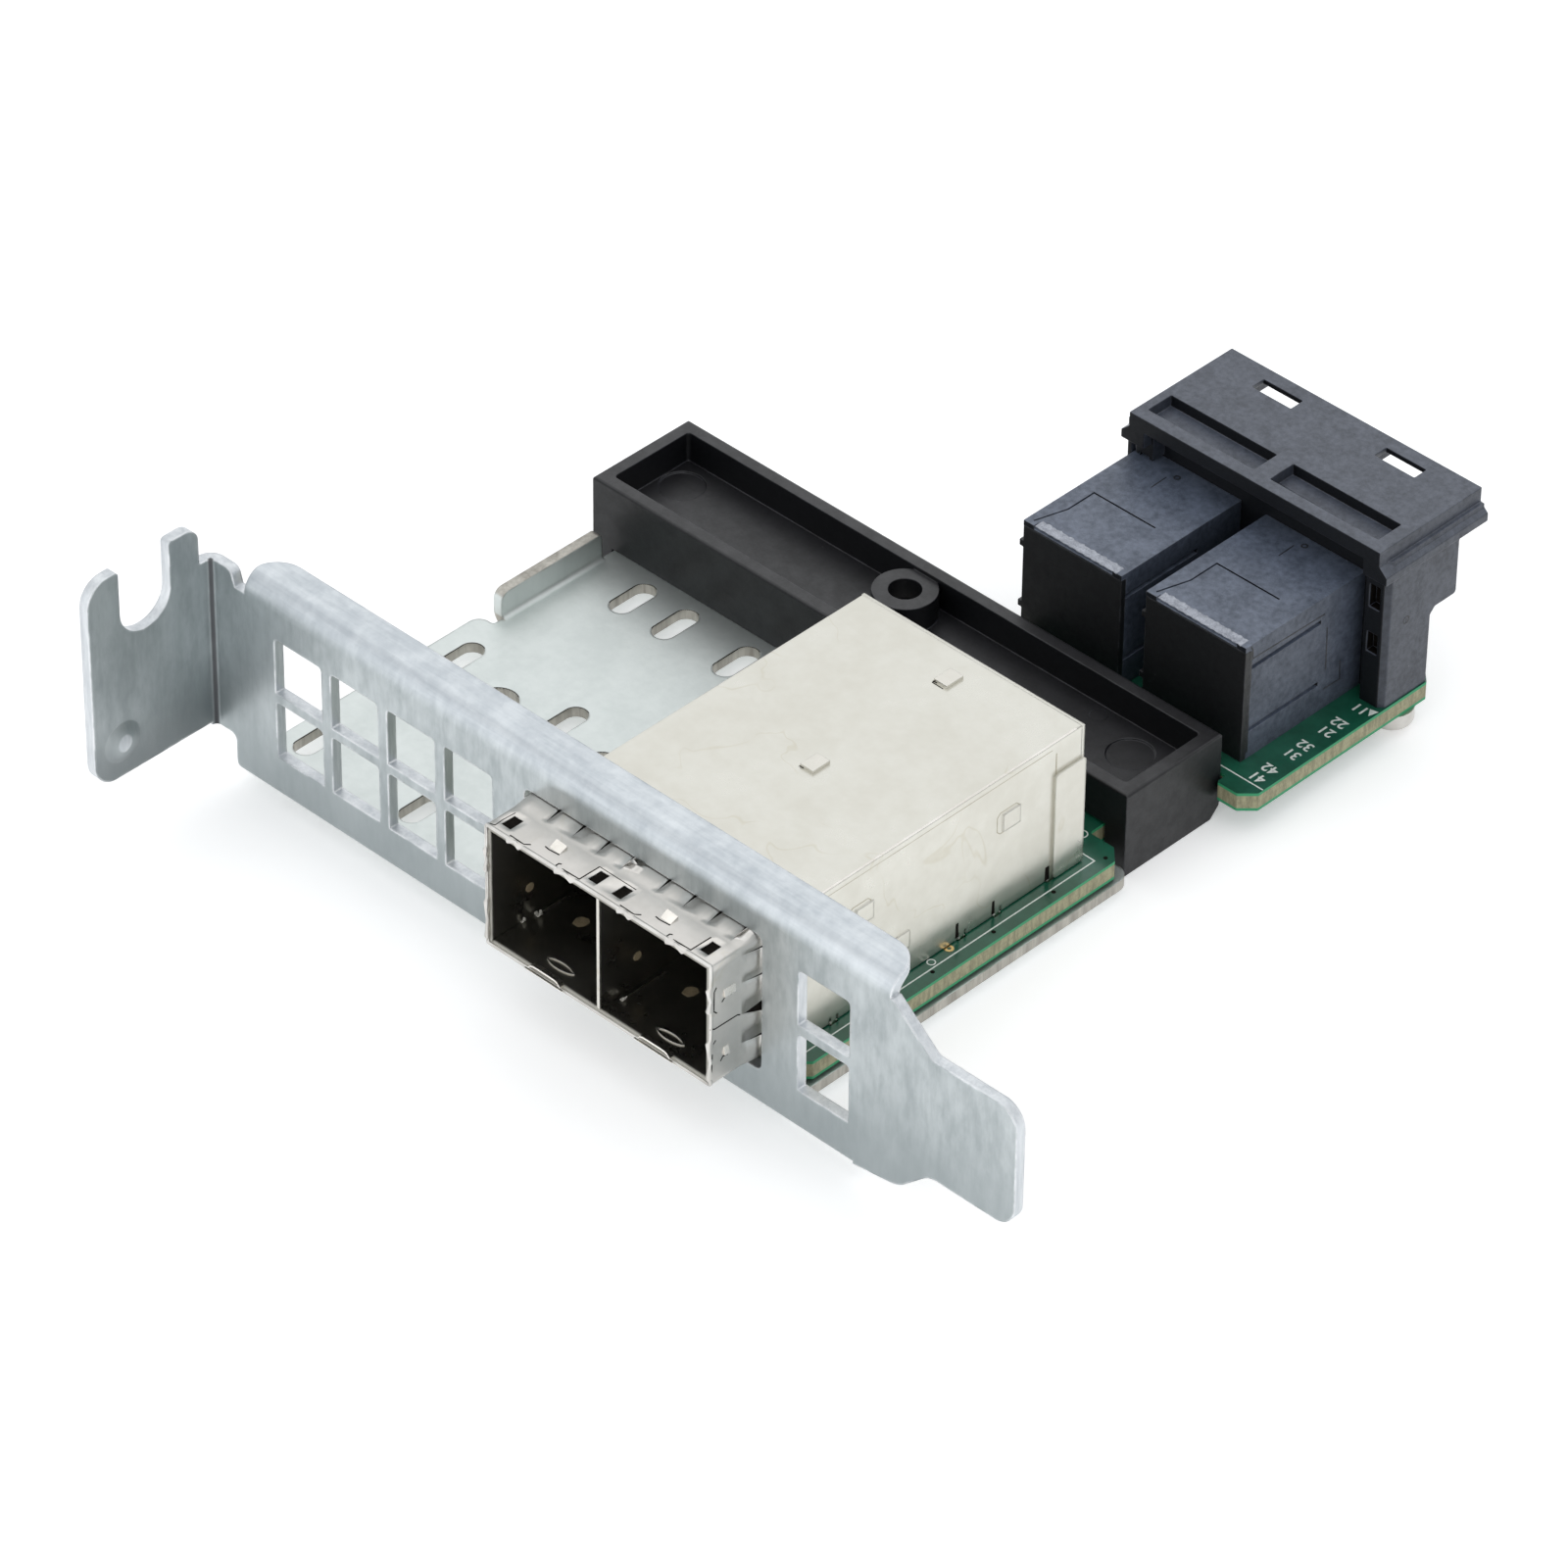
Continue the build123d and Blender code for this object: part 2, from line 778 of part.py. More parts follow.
def emi_collar():
    """The sprung collar that fills the gap between the cage and the bracket."""
    outer = box(collar_left, collar_right, -collar_front, collar_back, collar_low, collar_top)
    inner = box(cage_left, cage_right, -collar_front - 1, collar_back + 1, cage_floor_low, cage_top)
    collar = outer - inner
    for cut in collar_slits():
        collar -= cut
    lip = collar_sheet
    front = -cage_nose
    for x0 in (cage_left + 2.4, cage_centre + 2.4):
        collar += box(x0, x0 + 1.9, front - lip, front, cage_top - collar_lip, collar_top)
        collar += box(x0 + 3.1, x0 + 5.0, front - lip, front, cage_top - collar_lip, collar_top)
    return collar


def slot_rows(x_centre, slot_lows, height):
    """The height of each contact row: the floor and the roof of each card slot."""
    rows = []
    for low in slot_lows:
        rows.append((low, low + contact_thickness))
        rows.append((low + height - contact_thickness, low + height))
    first = x_centre - (contacts_per_row - 1) * contact_pitch / 2
    places = [first + i * contact_pitch for i in range(contacts_per_row)]
    return places, rows


def contact_set(x_centre, slot_lows, height, y0, y1):
    """All the contact blades of one port."""
    places, rows = slot_rows(x_centre, slot_lows, height)
    half = contact_width / 2
    blades = []
    for z0, z1 in rows:
        for x in places:
            blades.append(box(x - half, x + half, y0, y1, z0, z1))
    return Compound(children=blades)


def port_centre(index):
    """The middle of an external port along X."""
    quarter_width = cage_width / 4
    return cage_centre + (quarter_width if index else -quarter_width)


def external_receptacle(index):
    """The moulded receptacle inside one external port, standing on the board."""
    half = cage_width / 4 - cage_sheet - receptacle_gap
    x = port_centre(index)
    x0 = x - half
    x1 = x + half
    y1 = cage_end - cover_gap
    high = cage_top - cage_sheet - receptacle_top_gap
    body = box(x0, x1, receptacle_front, y1, board_top, high)
    inset = receptacle_nose_inset
    low = cage_floor_low + cage_sheet + inset
    nose = receptacle_front - receptacle_nose
    body += box(x0 + inset, x1 - inset, nose, receptacle_front, low, high - inset)
    for z in external_slots():
        wide = card_slot_width / 2
        depth = nose + card_slot_depth
        body -= box(x - wide, x + wide, nose - 1, depth, z, z + card_slot_height)
    return body


def external_slots():
    """The floors of the card slots of an external port."""
    return [board_top + height for height in external_slot_heights]


def external_contacts(index):
    """The contact blades of one external port."""
    nose = receptacle_front - receptacle_nose
    y0 = nose + contact_setback
    y1 = nose + card_slot_depth
    return contact_set(port_centre(index), external_slots(), card_slot_height, y0, y1)


def stiffening_bar():
    """The open moulded bar that clamps the board on the tray."""
    bar = box(bar_left, bar_right, bar_front, bar_end, -bar_post_drop, bar_top)
    tops = bar.edges().group_by(Axis.Z)[-1]
    bar = fillet(tops, bar_edge)
    rear = bar.edges().filter_by(Axis.X).group_by(Axis.Z)[0].sort_by(Axis.Y)[-1]
    bar = chamfer(rear, bar_post_corner)
    floor_top = bar_over_board + bar_floor
    hollow = [
        (bar_left + bar_wall, bar_front + bar_wall, 0.3),
        (bar_right - bar_wall, bar_front + bar_wall, 0.3),
        (bar_right - bar_wall, bar_end - bar_wall, 0.3),
        (bar_left + bar_wall, bar_end - bar_wall, 0.3),
    ]
    bar -= slab_xy(hollow, floor_top, bar_top + 1)
    y0 = bar_front - 1
    y1 = bar_end + 1
    bar -= box(post_inner_left, post_inner_right, y0, y1, -bar_post_drop - 1, sheet)
    board_side = board_left - bar_gap
    bar -= box(board_side, post_inner_right, y0, y1, -bar_post_drop - 1, bar_over_board)
    bar += rod(boss_x, boss_y, sheet, bar_top - boss_drop, boss_radius)
    bar -= rod(boss_x, boss_y, 0, bar_top + 1, boss_bore)
    for x, y in ejector_places:
        bar -= rod(x, y, floor_top - ejector_depth, floor_top + 0.5, ejector_radius)
    lug_top = board_low - 0.1
    x0 = bar_right - lug_width
    y1 = bar_end + lug_length
    bar += box(x0, bar_right, bar_end - 0.5, y1, lug_top - lug_height, lug_top)
    return bar


def bar_screw():
    """The screw that goes up through the tray into the boss."""
    screw = rod(boss_x, boss_y, 0, bar_top - screw_tip, boss_bore - screw_play)
    screw += rod(boss_x, boss_y, -screw_head_height, 0, screw_head_radius)
    rim = screw.edges().filter_by(GeomType.CIRCLE).group_by(Axis.Z)[0]
    screw = chamfer(rim, 0.2)
    socket = extrude(RegularPolygon(screw_socket_radius, 6), screw_socket_depth)
    screw -= Pos(boss_x, boss_y, -screw_head_height) * socket
    return screw


def shroud_ear(side, low):
    """One of the two ears that stand forward of the shroud's wall under its plate."""
    edge = body_right if side > 0 else body_left
    front = shroud_wall - ear_depth
    inner = edge - side * ear_width
    corners = [
        (inner, front, 0),
        (edge - side * ear_chamfer, front, 0),
        (edge, front + ear_chamfer, 0),
        (edge, shroud_wall, 0),
        (inner, shroud_wall, 0),
    ]
    if side < 0:
        corners.reverse()
    ear = slab_xy(corners, low, plate_low)
    x = edge - side * (ear_window_inset + ear_window_width / 2)
    half = ear_window_width / 2
    for height, tall in zip(ear_window_lows, ear_window_heights):
        z = board_top + height
        ear -= box(x - half, x + half, front - 1, front + ear_window_depth, z, z + tall)
    return ear


def side_rib(side):
    """The slanted rib along the side of the shroud's plate."""
    edge = shroud_right if side > 0 else shroud_left
    low = plate_low - rib_thickness
    reach = edge + side * rib_reach
    root = edge - side * 2 * rib_reach
    rib = [
        (root, low, 0),
        (reach, low, 0),
        (reach, low + rib_edge, 0),
        (edge, plate_low, 0),
        (root, plate_low, 0),
    ]
    if side < 0:
        rib.reverse()
    return slab_xz(rib, plate_front, shroud_end)


def shroud_body():
    """The solid of the shroud before its sockets and pockets are cut."""
    body = box(shroud_left, shroud_right, plate_front, shroud_end, plate_low, shroud_top)
    shelf_low = socket_low - shelf_wall
    foot_end = shroud_wall + shroud_foot_depth
    shelf_end = shroud_wall + shroud_shelf_depth
    hood_low = plate_low - rib_thickness
    profile = [
        (shroud_wall, board_top, 0),
        (foot_end, board_top, 0),
        (foot_end, shelf_low - shelf_chamfer, 0),
        (foot_end + shelf_chamfer, shelf_low, 0),
        (shelf_end, shelf_low, 0.3),
        (shelf_end, hood_low - shelf_chamfer, 0),
        (shroud_end, hood_low, 0),
        (shroud_end, plate_low, 0),
        (shroud_wall, plate_low, 0),
    ]
    body += slab_yz(profile, body_left, body_right)
    body += shroud_ear(1, board_top)
    body += shroud_ear(-1, block_top + ear_gap)
    body += ear_skirt_strip()
    return body + side_rib(-1) + side_rib(1)


def ear_skirt_strip():
    """The thin strip of the left ear that reaches down past the left block."""
    y0 = shroud_wall - ear_depth
    return box(body_left - ear_skirt, body_left, y0, y0 + ear_skirt_depth, board_top, plate_low)


def internal_slots():
    """The floors of the card slots of an internal socket."""
    return [socket_low + height for height in internal_slot_heights]


def shroud_housing():
    """The shroud with the two internal sockets, which open to the rear."""
    body = shroud_body()
    low = shroud_top - pocket_depth
    for left in socket_lefts:
        right = left + socket_width
        mouth = shroud_end - socket_depth
        body -= box(left, right, mouth, shroud_end + 1, socket_low, socket_low + socket_height)
        middle = (left + right) / 2
        wide = card_slot_width / 2
        for z in internal_slots():
            y0 = mouth - internal_slot_depth
            body -= box(middle - wide, middle + wide, y0, mouth + 1, z, z + internal_slot_height)
        x0 = middle + pocket_shift - pocket_width / 2
        y0 = plate_front + pocket_inset
        body -= box(x0, x0 + pocket_width, y0, y0 + pocket_length, low, shroud_top + 1)
        x0 = middle - latch_width / 2
        y1 = shroud_end - latch_inset
        x1 = x0 + latch_width
        y0 = y1 - latch_length
        roof = socket_low + socket_height - 1
        body -= box(x0, x1, y0, y1, roof, shroud_top + 1)
        under = shroud_top - latch_skin
        body -= box(x0 - latch_room, x1 + latch_room, y0 - latch_room, shroud_end + 1, roof, under)
    for x, y in shroud_screw_places():
        body -= rod(x, y, board_top - 1, board_top + shroud_screw_grip + 0.3, shroud_screw_radius)
    return body


def internal_contacts(index):
    """The contact blades of one internal socket."""
    middle = socket_lefts[index] + socket_width / 2
    y1 = shroud_end - socket_depth - contact_setback
    y0 = shroud_end - socket_depth - internal_slot_depth
    return contact_set(middle, internal_slots(), internal_slot_height, y0, y1)


def block_slit(left):
    """The slit in the top of a terminal block, along its path of points."""
    cut = None
    half = slit_width / 2
    points = [(left + x, block_front + y) for x, y in slit_path]
    for (xa, ya), (xb, yb) in zip(points, points[1:]):
        along = Vector(xb - xa, yb - ya).normalized() * half
        across = Vector(-along.Y, along.X)
        a = Vector(xa, ya) - along
        b = Vector(xb, yb) + along
        loop = [a + across, a - across, b - across, b + across]
        corners = [(point.X, point.Y, 0) for point in loop]
        piece = slab_xy(corners, block_top - slit_depth, block_top + 1)
        cut = piece if cut is None else cut + piece
    return cut


def terminal_block(index):
    """One of the two blocks that carry the wires from the board to a socket."""
    left = block_lefts[index]
    right = left + block_width
    back = shroud_wall
    body = box(left, right, block_front, back, board_top, block_top)
    plate_back = block_front + front_plate_thickness
    lip = block_top - front_plate_drop
    body -= box(left - 1, right + 1, block_front - 1, plate_back, board_top - 1, lip)
    body -= block_slit(left)
    bevel = [
        (block_front - 1, block_top + 1, 0),
        (block_front - 1, block_top - bevel_depth, 0),
        (block_front, block_top - bevel_depth, 0),
        (block_front + bevel_length, block_top, 0),
        (block_front + bevel_length, block_top + 1, 0),
    ]
    body -= slab_yz(bevel, left + bevel_insets[0], right - bevel_insets[1])
    for height in side_grooves:
        z = board_top + height
        for x0, x1 in ((left - 1, left + groove_depth), (right - groove_depth, right + 1)):
            y1 = block_front + groove_length
            body -= box(x0, x1, plate_back, y1, z, z + groove_height)
    return body


def front_plate(index):
    """The dark plate that closes the front of a terminal block."""
    left = block_lefts[index]
    right = left + block_width
    y1 = block_front + front_plate_thickness
    plate = box(left, right, block_front, y1, board_top, block_top - front_plate_drop)
    for height in peg_heights:
        z = board_top + height
        plate += box(left - peg_reach, left, block_front, y1, z, z + peg_size)
    return plate


def shroud_screws():
    """The two screws that hold the shroud from under the board."""
    screws = []
    for x, y in shroud_screw_places():
        radius = shroud_screw_radius - shroud_screw_play
        screw = rod(x, y, board_low, board_top + shroud_screw_grip, radius)
        head = rod(x, y, board_low - shroud_screw_head_height, board_low, shroud_screw_head)
        rim = head.edges().filter_by(GeomType.CIRCLE).group_by(Axis.Z)[0]
        screws.append(screw + fillet(rim, 0.5))
    return Compound(children=screws)


def build():
    """Every node of the part, by name."""
    return {
        "bracket_tray": bracket_tray(),
        "insulating_film": insulating_film(),
        "circuit_board": circuit_board(),
        "cage_shell": cage_shell(),
        "cage_floor": cage_floor(),
        "cage_divider": cage_divider(),
        "cage_rear_cover": cage_rear_cover(),
        "emi_collar": emi_collar(),
        "external_receptacle_left": external_receptacle(0),
        "external_receptacle_right": external_receptacle(1),
        "external_contacts_left": external_contacts(0),
        "external_contacts_right": external_contacts(1),
        "stiffening_bar": stiffening_bar(),
        "bar_screw": bar_screw(),
        "shroud_housing": shroud_housing(),
        "terminal_block_left": terminal_block(0),
        "terminal_block_right": terminal_block(1),
        "block_front_left": front_plate(0),
        "block_front_right": front_plate(1),
        "internal_contacts_left": internal_contacts(0),
        "internal_contacts_right": internal_contacts(1),
        "shroud_screws": shroud_screws(),
    }


def main():
    os.makedirs("parts", exist_ok=True)
    for name, shape in build().items():
        export_step(Pos(*shift) * shape, f"parts/{name}.step")


main()
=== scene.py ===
import math

import bmesh
import bpy
from mathutils import Matrix, Vector


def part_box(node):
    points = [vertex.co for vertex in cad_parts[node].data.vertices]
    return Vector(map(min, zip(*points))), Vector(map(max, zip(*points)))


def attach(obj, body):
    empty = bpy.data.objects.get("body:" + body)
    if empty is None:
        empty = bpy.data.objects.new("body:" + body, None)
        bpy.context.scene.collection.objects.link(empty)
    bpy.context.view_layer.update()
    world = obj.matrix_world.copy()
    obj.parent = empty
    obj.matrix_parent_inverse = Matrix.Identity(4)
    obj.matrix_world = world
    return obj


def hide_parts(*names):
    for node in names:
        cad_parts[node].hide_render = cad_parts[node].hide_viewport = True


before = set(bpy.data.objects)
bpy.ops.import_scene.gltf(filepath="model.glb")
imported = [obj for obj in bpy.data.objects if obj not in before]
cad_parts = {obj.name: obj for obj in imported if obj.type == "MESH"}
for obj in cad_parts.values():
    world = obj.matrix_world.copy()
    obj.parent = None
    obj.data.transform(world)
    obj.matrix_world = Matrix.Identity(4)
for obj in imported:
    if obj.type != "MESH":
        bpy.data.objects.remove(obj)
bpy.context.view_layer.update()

# Where things are: millimetres from the screw tab's outer face, the bracket's outer face and the
# tray's underside, along the bracket, into the chassis and up.
MM = 0.001
TAB_DEPTH = 11.67
sheet_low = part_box("bracket_tray")[0]
ORIGIN = Vector((sheet_low.x, sheet_low.y + TAB_DEPTH * MM, sheet_low.z))

# Camera: fitted to the photograph, in degrees and millimetres
CAMERA_TURN = 43.816
CAMERA_HEIGHT = 38.722
CAMERA_ROLL = 0.654
CAMERA_DISTANCE = 605.0
CAMERA_TARGET = (41.9, 16.161, 11.914)
CAMERA_LENS = 198.99
CAMERA_SENSOR = 36.0

# Samples for the edges that materials round
BEVEL_SAMPLES = 4
# Scale of the noise that breaks up the wear and painted highlight along edges
EDGE_BREAKUP = 500.0
# Mottling: how much finer its close clouds are, and their share
CLOSE_CLOUD_SCALE = 4.7
CLOSE_CLOUD_SHARE = 0.35
# Inside of the cage, where shade is painted: two corners of its room, and how softly the room's mask ends
INSIDE_LOW, INSIDE_HIGH = (33.37, 0, 4.74), (54.73, 32.8, 14.93)
INSIDE_FADE = 0.05
# Zones of the bracket: each mask is 0 at the first place and 1 at the second
TRAY_DEPTHS = (0.8, 1.5)
ROLL_HEIGHTS = (17.0, 18.3)
ROLL_LEFT, ROLL_RIGHT = (2.9, 3.9), (67.8, 67.6)
SHEET_HEIGHTS = (1.15, 0.9)
SIDE_WALL_HEIGHTS, SIDE_WALL_DEPTHS = (1.4, 1.7), (10.0, 12.0)
TAB_REACH = (1.3, 0.95)
# Painted shade in the fold between the screw tab and the neck: its place and reach
FOLD_PLACE = (0.97, -0.12)
FOLD_REACH = (0.24, 0.08)
# Painted shade towards the foot of the bracket's face, where the clouds fade to a share
FOOT_SHADE_HEIGHTS = (1.5, 12.0)
FOOT_SHADE_SHARE = 0.25
# Tones that the finishes mix in
# Painted shade at the foot of the tab
TAB_FOOT_SHADE_TONE = (0.20, 0.22, 0.225)
# Edges of the bracket: wear with a painted highlight, darker on the tray
WORN_HIGHLIGHT_TONE, WORN_TRAY_TONE = (0.95, 0.96, 0.98), (0.26, 0.26, 0.24)
# Painted shade in the fold's crease
CREASE_SHADE_TONE = (0.05, 0.05, 0.055)
NICK_TONE = (0.22, 0.22, 0.22)
TIDE_TONE = (0.46, 0.40, 0.24)
# Edges of the nickel: wear with a painted highlight
WORN_NICKEL_HIGHLIGHT_TONE = (0.92, 0.91, 0.88)
# Painted shade inside the ports
INSIDE_SHADE_TONE = (0.37, 0.36, 0.325)
# Painted shade on the plastics' fronts and right sides
SIDE_SHADE_TONE = (0.0025, 0.003, 0.004)
# Edges of the plastics: wear with a painted highlight
WORN_PLASTIC_HIGHLIGHT_TONE = (0.17, 0.18, 0.21)
DUST_TONE = (0.3, 0.3, 0.3)


def place(x, y, z):
    """A point of the card in the frame's metres."""
    return ORIGIN + Vector((x, y, z)) * MM


# Node helpers


def fill(tree, socket, value):
    """Links an input to another node's output, or sets it."""
    if isinstance(value, bpy.types.NodeSocket):
        tree.links.new(value, socket)
    else:
        socket.default_value = value


def node(tree, kind, inputs=None, **settings):
    """Adds a node, sets its properties, and links or fills its inputs."""
    made = tree.nodes.new(kind)
    for name, value in settings.items():
        setattr(made, name, value)
    for name, value in (inputs or {}).items():
        fill(tree, made.inputs[name], value)
    return made


def calc(tree, operation, first, second=None, clamp=False):
    """A math node's output."""
    values = {0: first} if second is None else {0: first, 1: second}
    return node(tree, "ShaderNodeMath", values, operation=operation, use_clamp=clamp).outputs[0]


def blend(tree, amount, first, second):
    """Mixes two colours."""
    tones = [(*tone, 1.0) if isinstance(tone, tuple) else tone for tone in (first, second)]
    mixer = node(tree, "ShaderNodeMix", data_type="RGBA")
    for index, value in zip((0, 6, 7), (amount, *tones)):
        fill(tree, mixer.inputs[index], value)
    return mixer.outputs[2]


def remap(tree, value, low, high, to_low=0.0, to_high=1.0, smooth=True):
    """Stretches a value between two limits."""
    inputs = {0: value, 1: low, 2: high, 3: to_low, 4: to_high}
    kind = "SMOOTHSTEP" if smooth else "LINEAR"
    return node(tree, "ShaderNodeMapRange", inputs, interpolation_type=kind).outputs[0]


def noise(tree, where, scale, detail=3.0, rough=0.55, distortion=0.0):
    """A noise texture's factor."""
    inputs = {"Vector": where, "Scale": scale, "Detail": detail, "Roughness": rough}
    inputs["Distortion"] = distortion
    return node(tree, "ShaderNodeTexNoise", inputs).outputs[0]


def stretched(tree, where, scales):
    """Coordinates scaled by axis, to draw a pattern out along one of them."""
    inputs = {0: where, 1: scales}
    return node(tree, "ShaderNodeVectorMath", inputs, operation="MULTIPLY").outputs[0]


def card_place(tree):
    """Coordinates in metres in the frame, the same on every piece."""
    return node(tree, "ShaderNodeTexCoord").outputs["Object"]


def apart(tree, vector):
    """The three parts of a vector, as X, Y and Z."""
    return node(tree, "ShaderNodeSeparateXYZ", {0: vector}).outputs


def facing_way(tree):
    """The way that a face looks, as its three parts."""
    return apart(tree, node(tree, "ShaderNodeNewGeometry").outputs["True Normal"])


def product(tree, first, *others):
    """The product of several values."""
    for other in others:
        first = calc(tree, "MULTIPLY", first, other)
    return first


def opposite(tree, mask):
    """A mask that is 1 where the given one is 0."""
    return calc(tree, "SUBTRACT", 1.0, mask)


def zone(tree, parts, axis, limits, low=0.0, high=1.0):
    """A mask along one axis of the card: low at the first limit in millimetres, high at the second."""
    start, end = [ORIGIN[axis] + limit * MM for limit in limits]
    return remap(tree, parts[axis], start, end, low, high)


def new_group(name, inputs, outputs):
    """An empty shader node group with the sockets given as (name, kind, default)."""
    group = bpy.data.node_groups.new(name, "ShaderNodeTree")
    for socket, kind, default in inputs:
        made = group.interface.new_socket(socket, in_out="INPUT", socket_type="NodeSocket" + kind)
        made.default_value = default
    for socket, kind in outputs:
        group.interface.new_socket(socket, in_out="OUTPUT", socket_type="NodeSocket" + kind)
    entry = group.nodes.new("NodeGroupInput")
    leave = group.nodes.new("NodeGroupOutput")
    return group, entry.outputs, leave.inputs


def use_group(tree, group, **inputs):
    """Places a group in a material and returns its outputs."""
    made = tree.nodes.new("ShaderNodeGroup")
    made.node_tree = group
    for name, value in inputs.items():
        fill(tree, made.inputs[name.replace("_", " ")], value)
    return made.outputs


def mottle_group():
    """Clouds of two sizes, drawn out along an axis, as one mask."""
    inputs = [("Size", "Float", 0.005), ("Stretch", "Vector", (1, 1, 1)), ("Contrast", "Float", 0.2)]
    group, entry, leave = new_group("mottle", inputs, [("Mask", "Float")])
    where = stretched(group, card_place(group), entry["Stretch"])
    scale = calc(group, "DIVIDE", 1.0, entry["Size"])
    broad = noise(group, where, scale, 4.0, 0.6)
    close = noise(group, where, product(group, scale, CLOSE_CLOUD_SCALE), 3.0, 0.6)
    broad = product(group, broad, 1 - CLOSE_CLOUD_SHARE)
    both = calc(group, "ADD", broad, product(group, close, CLOSE_CLOUD_SHARE))
    low = calc(group, "SUBTRACT", 0.5, entry["Contrast"])
    high = calc(group, "ADD", 0.5, entry["Contrast"])
    group.links.new(remap(group, both, low, high), leave["Mask"])
    return group


def edge_wear_highlight_group():
    """A mask that is 1 on rounded edges, broken up by noise: wear, and a painted highlight along the
    edges.
    """
    inputs = [("Width", "Float", 0.0002), ("Breakup", "Float", 900.0), ("Amount", "Float", 1.0)]
    group, entry, leave = new_group("edge wear", inputs, [("Mask", "Float")])
    rounded = node(group, "ShaderNodeBevel", {"Radius": entry["Width"]}, samples=BEVEL_SAMPLES).outputs[0]
    flat = node(group, "ShaderNodeNewGeometry").outputs["True Normal"]
    both = {0: rounded, 1: flat}
    alike = node(group, "ShaderNodeVectorMath", both, operation="DOT_PRODUCT").outputs["Value"]
    edge = remap(group, alike, 0.995, 0.8)
    broken = remap(group, noise(group, card_place(group), entry["Breakup"], 3.0), 0.35, 0.6)
    mask = calc(group, "MULTIPLY", product(group, edge, broken), entry["Amount"], clamp=True)
    group.links.new(mask, leave["Mask"])
    return group


def grain_group():
    """Fine relief of a surface: close noise over slow waves."""
    inputs = [("Grain", "Float", 0.0002), ("Waves", "Float", 0.006), ("Wave Share", "Float", 0.5)]
    group, entry, leave = new_group("surface grain", inputs, [("Height", "Float")])
    where = card_place(group)
    close = noise(group, where, calc(group, "DIVIDE", 1.0, entry["Grain"]), 2.0)
    slow = noise(group, where, calc(group, "DIVIDE", 1.0, entry["Waves"]), 2.0)
    height = calc(group, "ADD", close, product(group, slow, entry["Wave Share"]))
    group.links.new(height, leave["Height"])
    return group


def inside_shade_group():
    """A mask of painted shade: 1 on the walls inside the cage, from a depth on, and 0 on its outside."""
    inputs = [("Front", "Float", -0.034)]
    group, entry, leave = new_group("painted shade inside the ports", inputs, [("Mask", "Float")])
    parts = apart(group, card_place(group))
    low, high = place(*INSIDE_LOW), place(*INSIDE_HIGH)
    starts = (low.x, entry["Front"], low.z)
    masks = []
    for axis in range(3):
        past_start = calc(group, "SUBTRACT", parts[axis], starts[axis])
        masks.append(remap(group, past_start, 0.0, INSIDE_FADE * MM))
        masks.append(remap(group, parts[axis], high[axis], high[axis] - INSIDE_FADE * MM))
    group.links.new(product(group, *masks), leave["Mask"])
    return group


def speck_group():
    """Scattered small specks, such as dust or nicks."""
    inputs = [("Spacing", "Float", 0.002), ("Size", "Float", 0.08)]
    group, entry, leave = new_group("specks", inputs, [("Mask", "Float")])
    scale = calc(group, "DIVIDE", 1.0, entry["Spacing"])
    cells = node(group, "ShaderNodeTexVoronoi", {"Vector": card_place(group), "Scale": scale})
    keep = remap(group, cells.outputs["Color"], 0.55, 0.75)
    spot = remap(group, cells.outputs["Distance"], entry["Size"], 0.0)
    group.links.new(product(group, spot, keep), leave["Mask"])
    return group


def face_shade_group():
    """Masks of painted shade: 1 on faces that look out of the bracket, and on those that look to the
    right.
    """
    group, _, leave = new_group("side_shade_masks", [], [("Front", "Float"), ("Right", "Float")])
    parts = facing_way(group)
    group.links.new(remap(group, parts["Y"], -0.6, -0.85), leave["Front"])
    group.links.new(remap(group, parts["X"], 0.6, 0.85), leave["Right"])
    return group


def tide_group():
    """Thin wandering lines, as dried fluid leaves on bright plating, in a few patches."""
    inputs = [("Size", "Float", 0.01), ("Width", "Float", 0.008)]
    group, entry, leave = new_group("tide marks", inputs, [("Mask", "Float")])
    scale = calc(group, "DIVIDE", 1.0, entry["Size"])
    where = card_place(group)
    level = noise(group, where, scale, 2.0, 0.4, 0.6)
    away = calc(group, "ABSOLUTE", calc(group, "SUBTRACT", level, 0.5))
    line = remap(group, away, entry["Width"], 0.0)
    patch = remap(group, noise(group, where, product(group, scale, 0.6), 2.0), 0.52, 0.62)
    group.links.new(product(group, line, patch), leave["Mask"])
    return group


MOTTLE = mottle_group()
EDGE_WEAR_AND_HIGHLIGHT = edge_wear_highlight_group()
GRAIN = grain_group()
SPECKS = speck_group()
INSIDE_SHADE = inside_shade_group()
FACE_SHADE = face_shade_group()
TIDE = tide_group()


# Materials


def shader(name, **values):
    """A material with one Principled shader, and its tree."""
    material = bpy.data.materials.new(name)
    material.use_nodes = True
    tree = material.node_tree
    principled = tree.nodes["Principled BSDF"]
    for socket, value in values.items():
        principled.inputs[socket.replace("_", " ")].default_value = value
    return material, tree, principled.inputs


def feed(tree, surface, **values):
    """Links values to the shader's inputs."""
    for name, value in values.items():
        tree.links.new(value, surface[name.replace("_", " ")])


def clouds(tree, size, contrast, stretch=(1, 1, 1)):
    """Mottling; its size is in metres."""
    return use_group(tree, MOTTLE, Size=size, Stretch=stretch, Contrast=contrast)["Mask"]


def worn_and_highlit_edges(tree, width, amount):
    """Wear and a painted highlight along the edges; its width is in metres."""
    return use_group(tree, EDGE_WEAR_AND_HIGHLIGHT, Width=width, Breakup=EDGE_BREAKUP, Amount=amount)["Mask"]


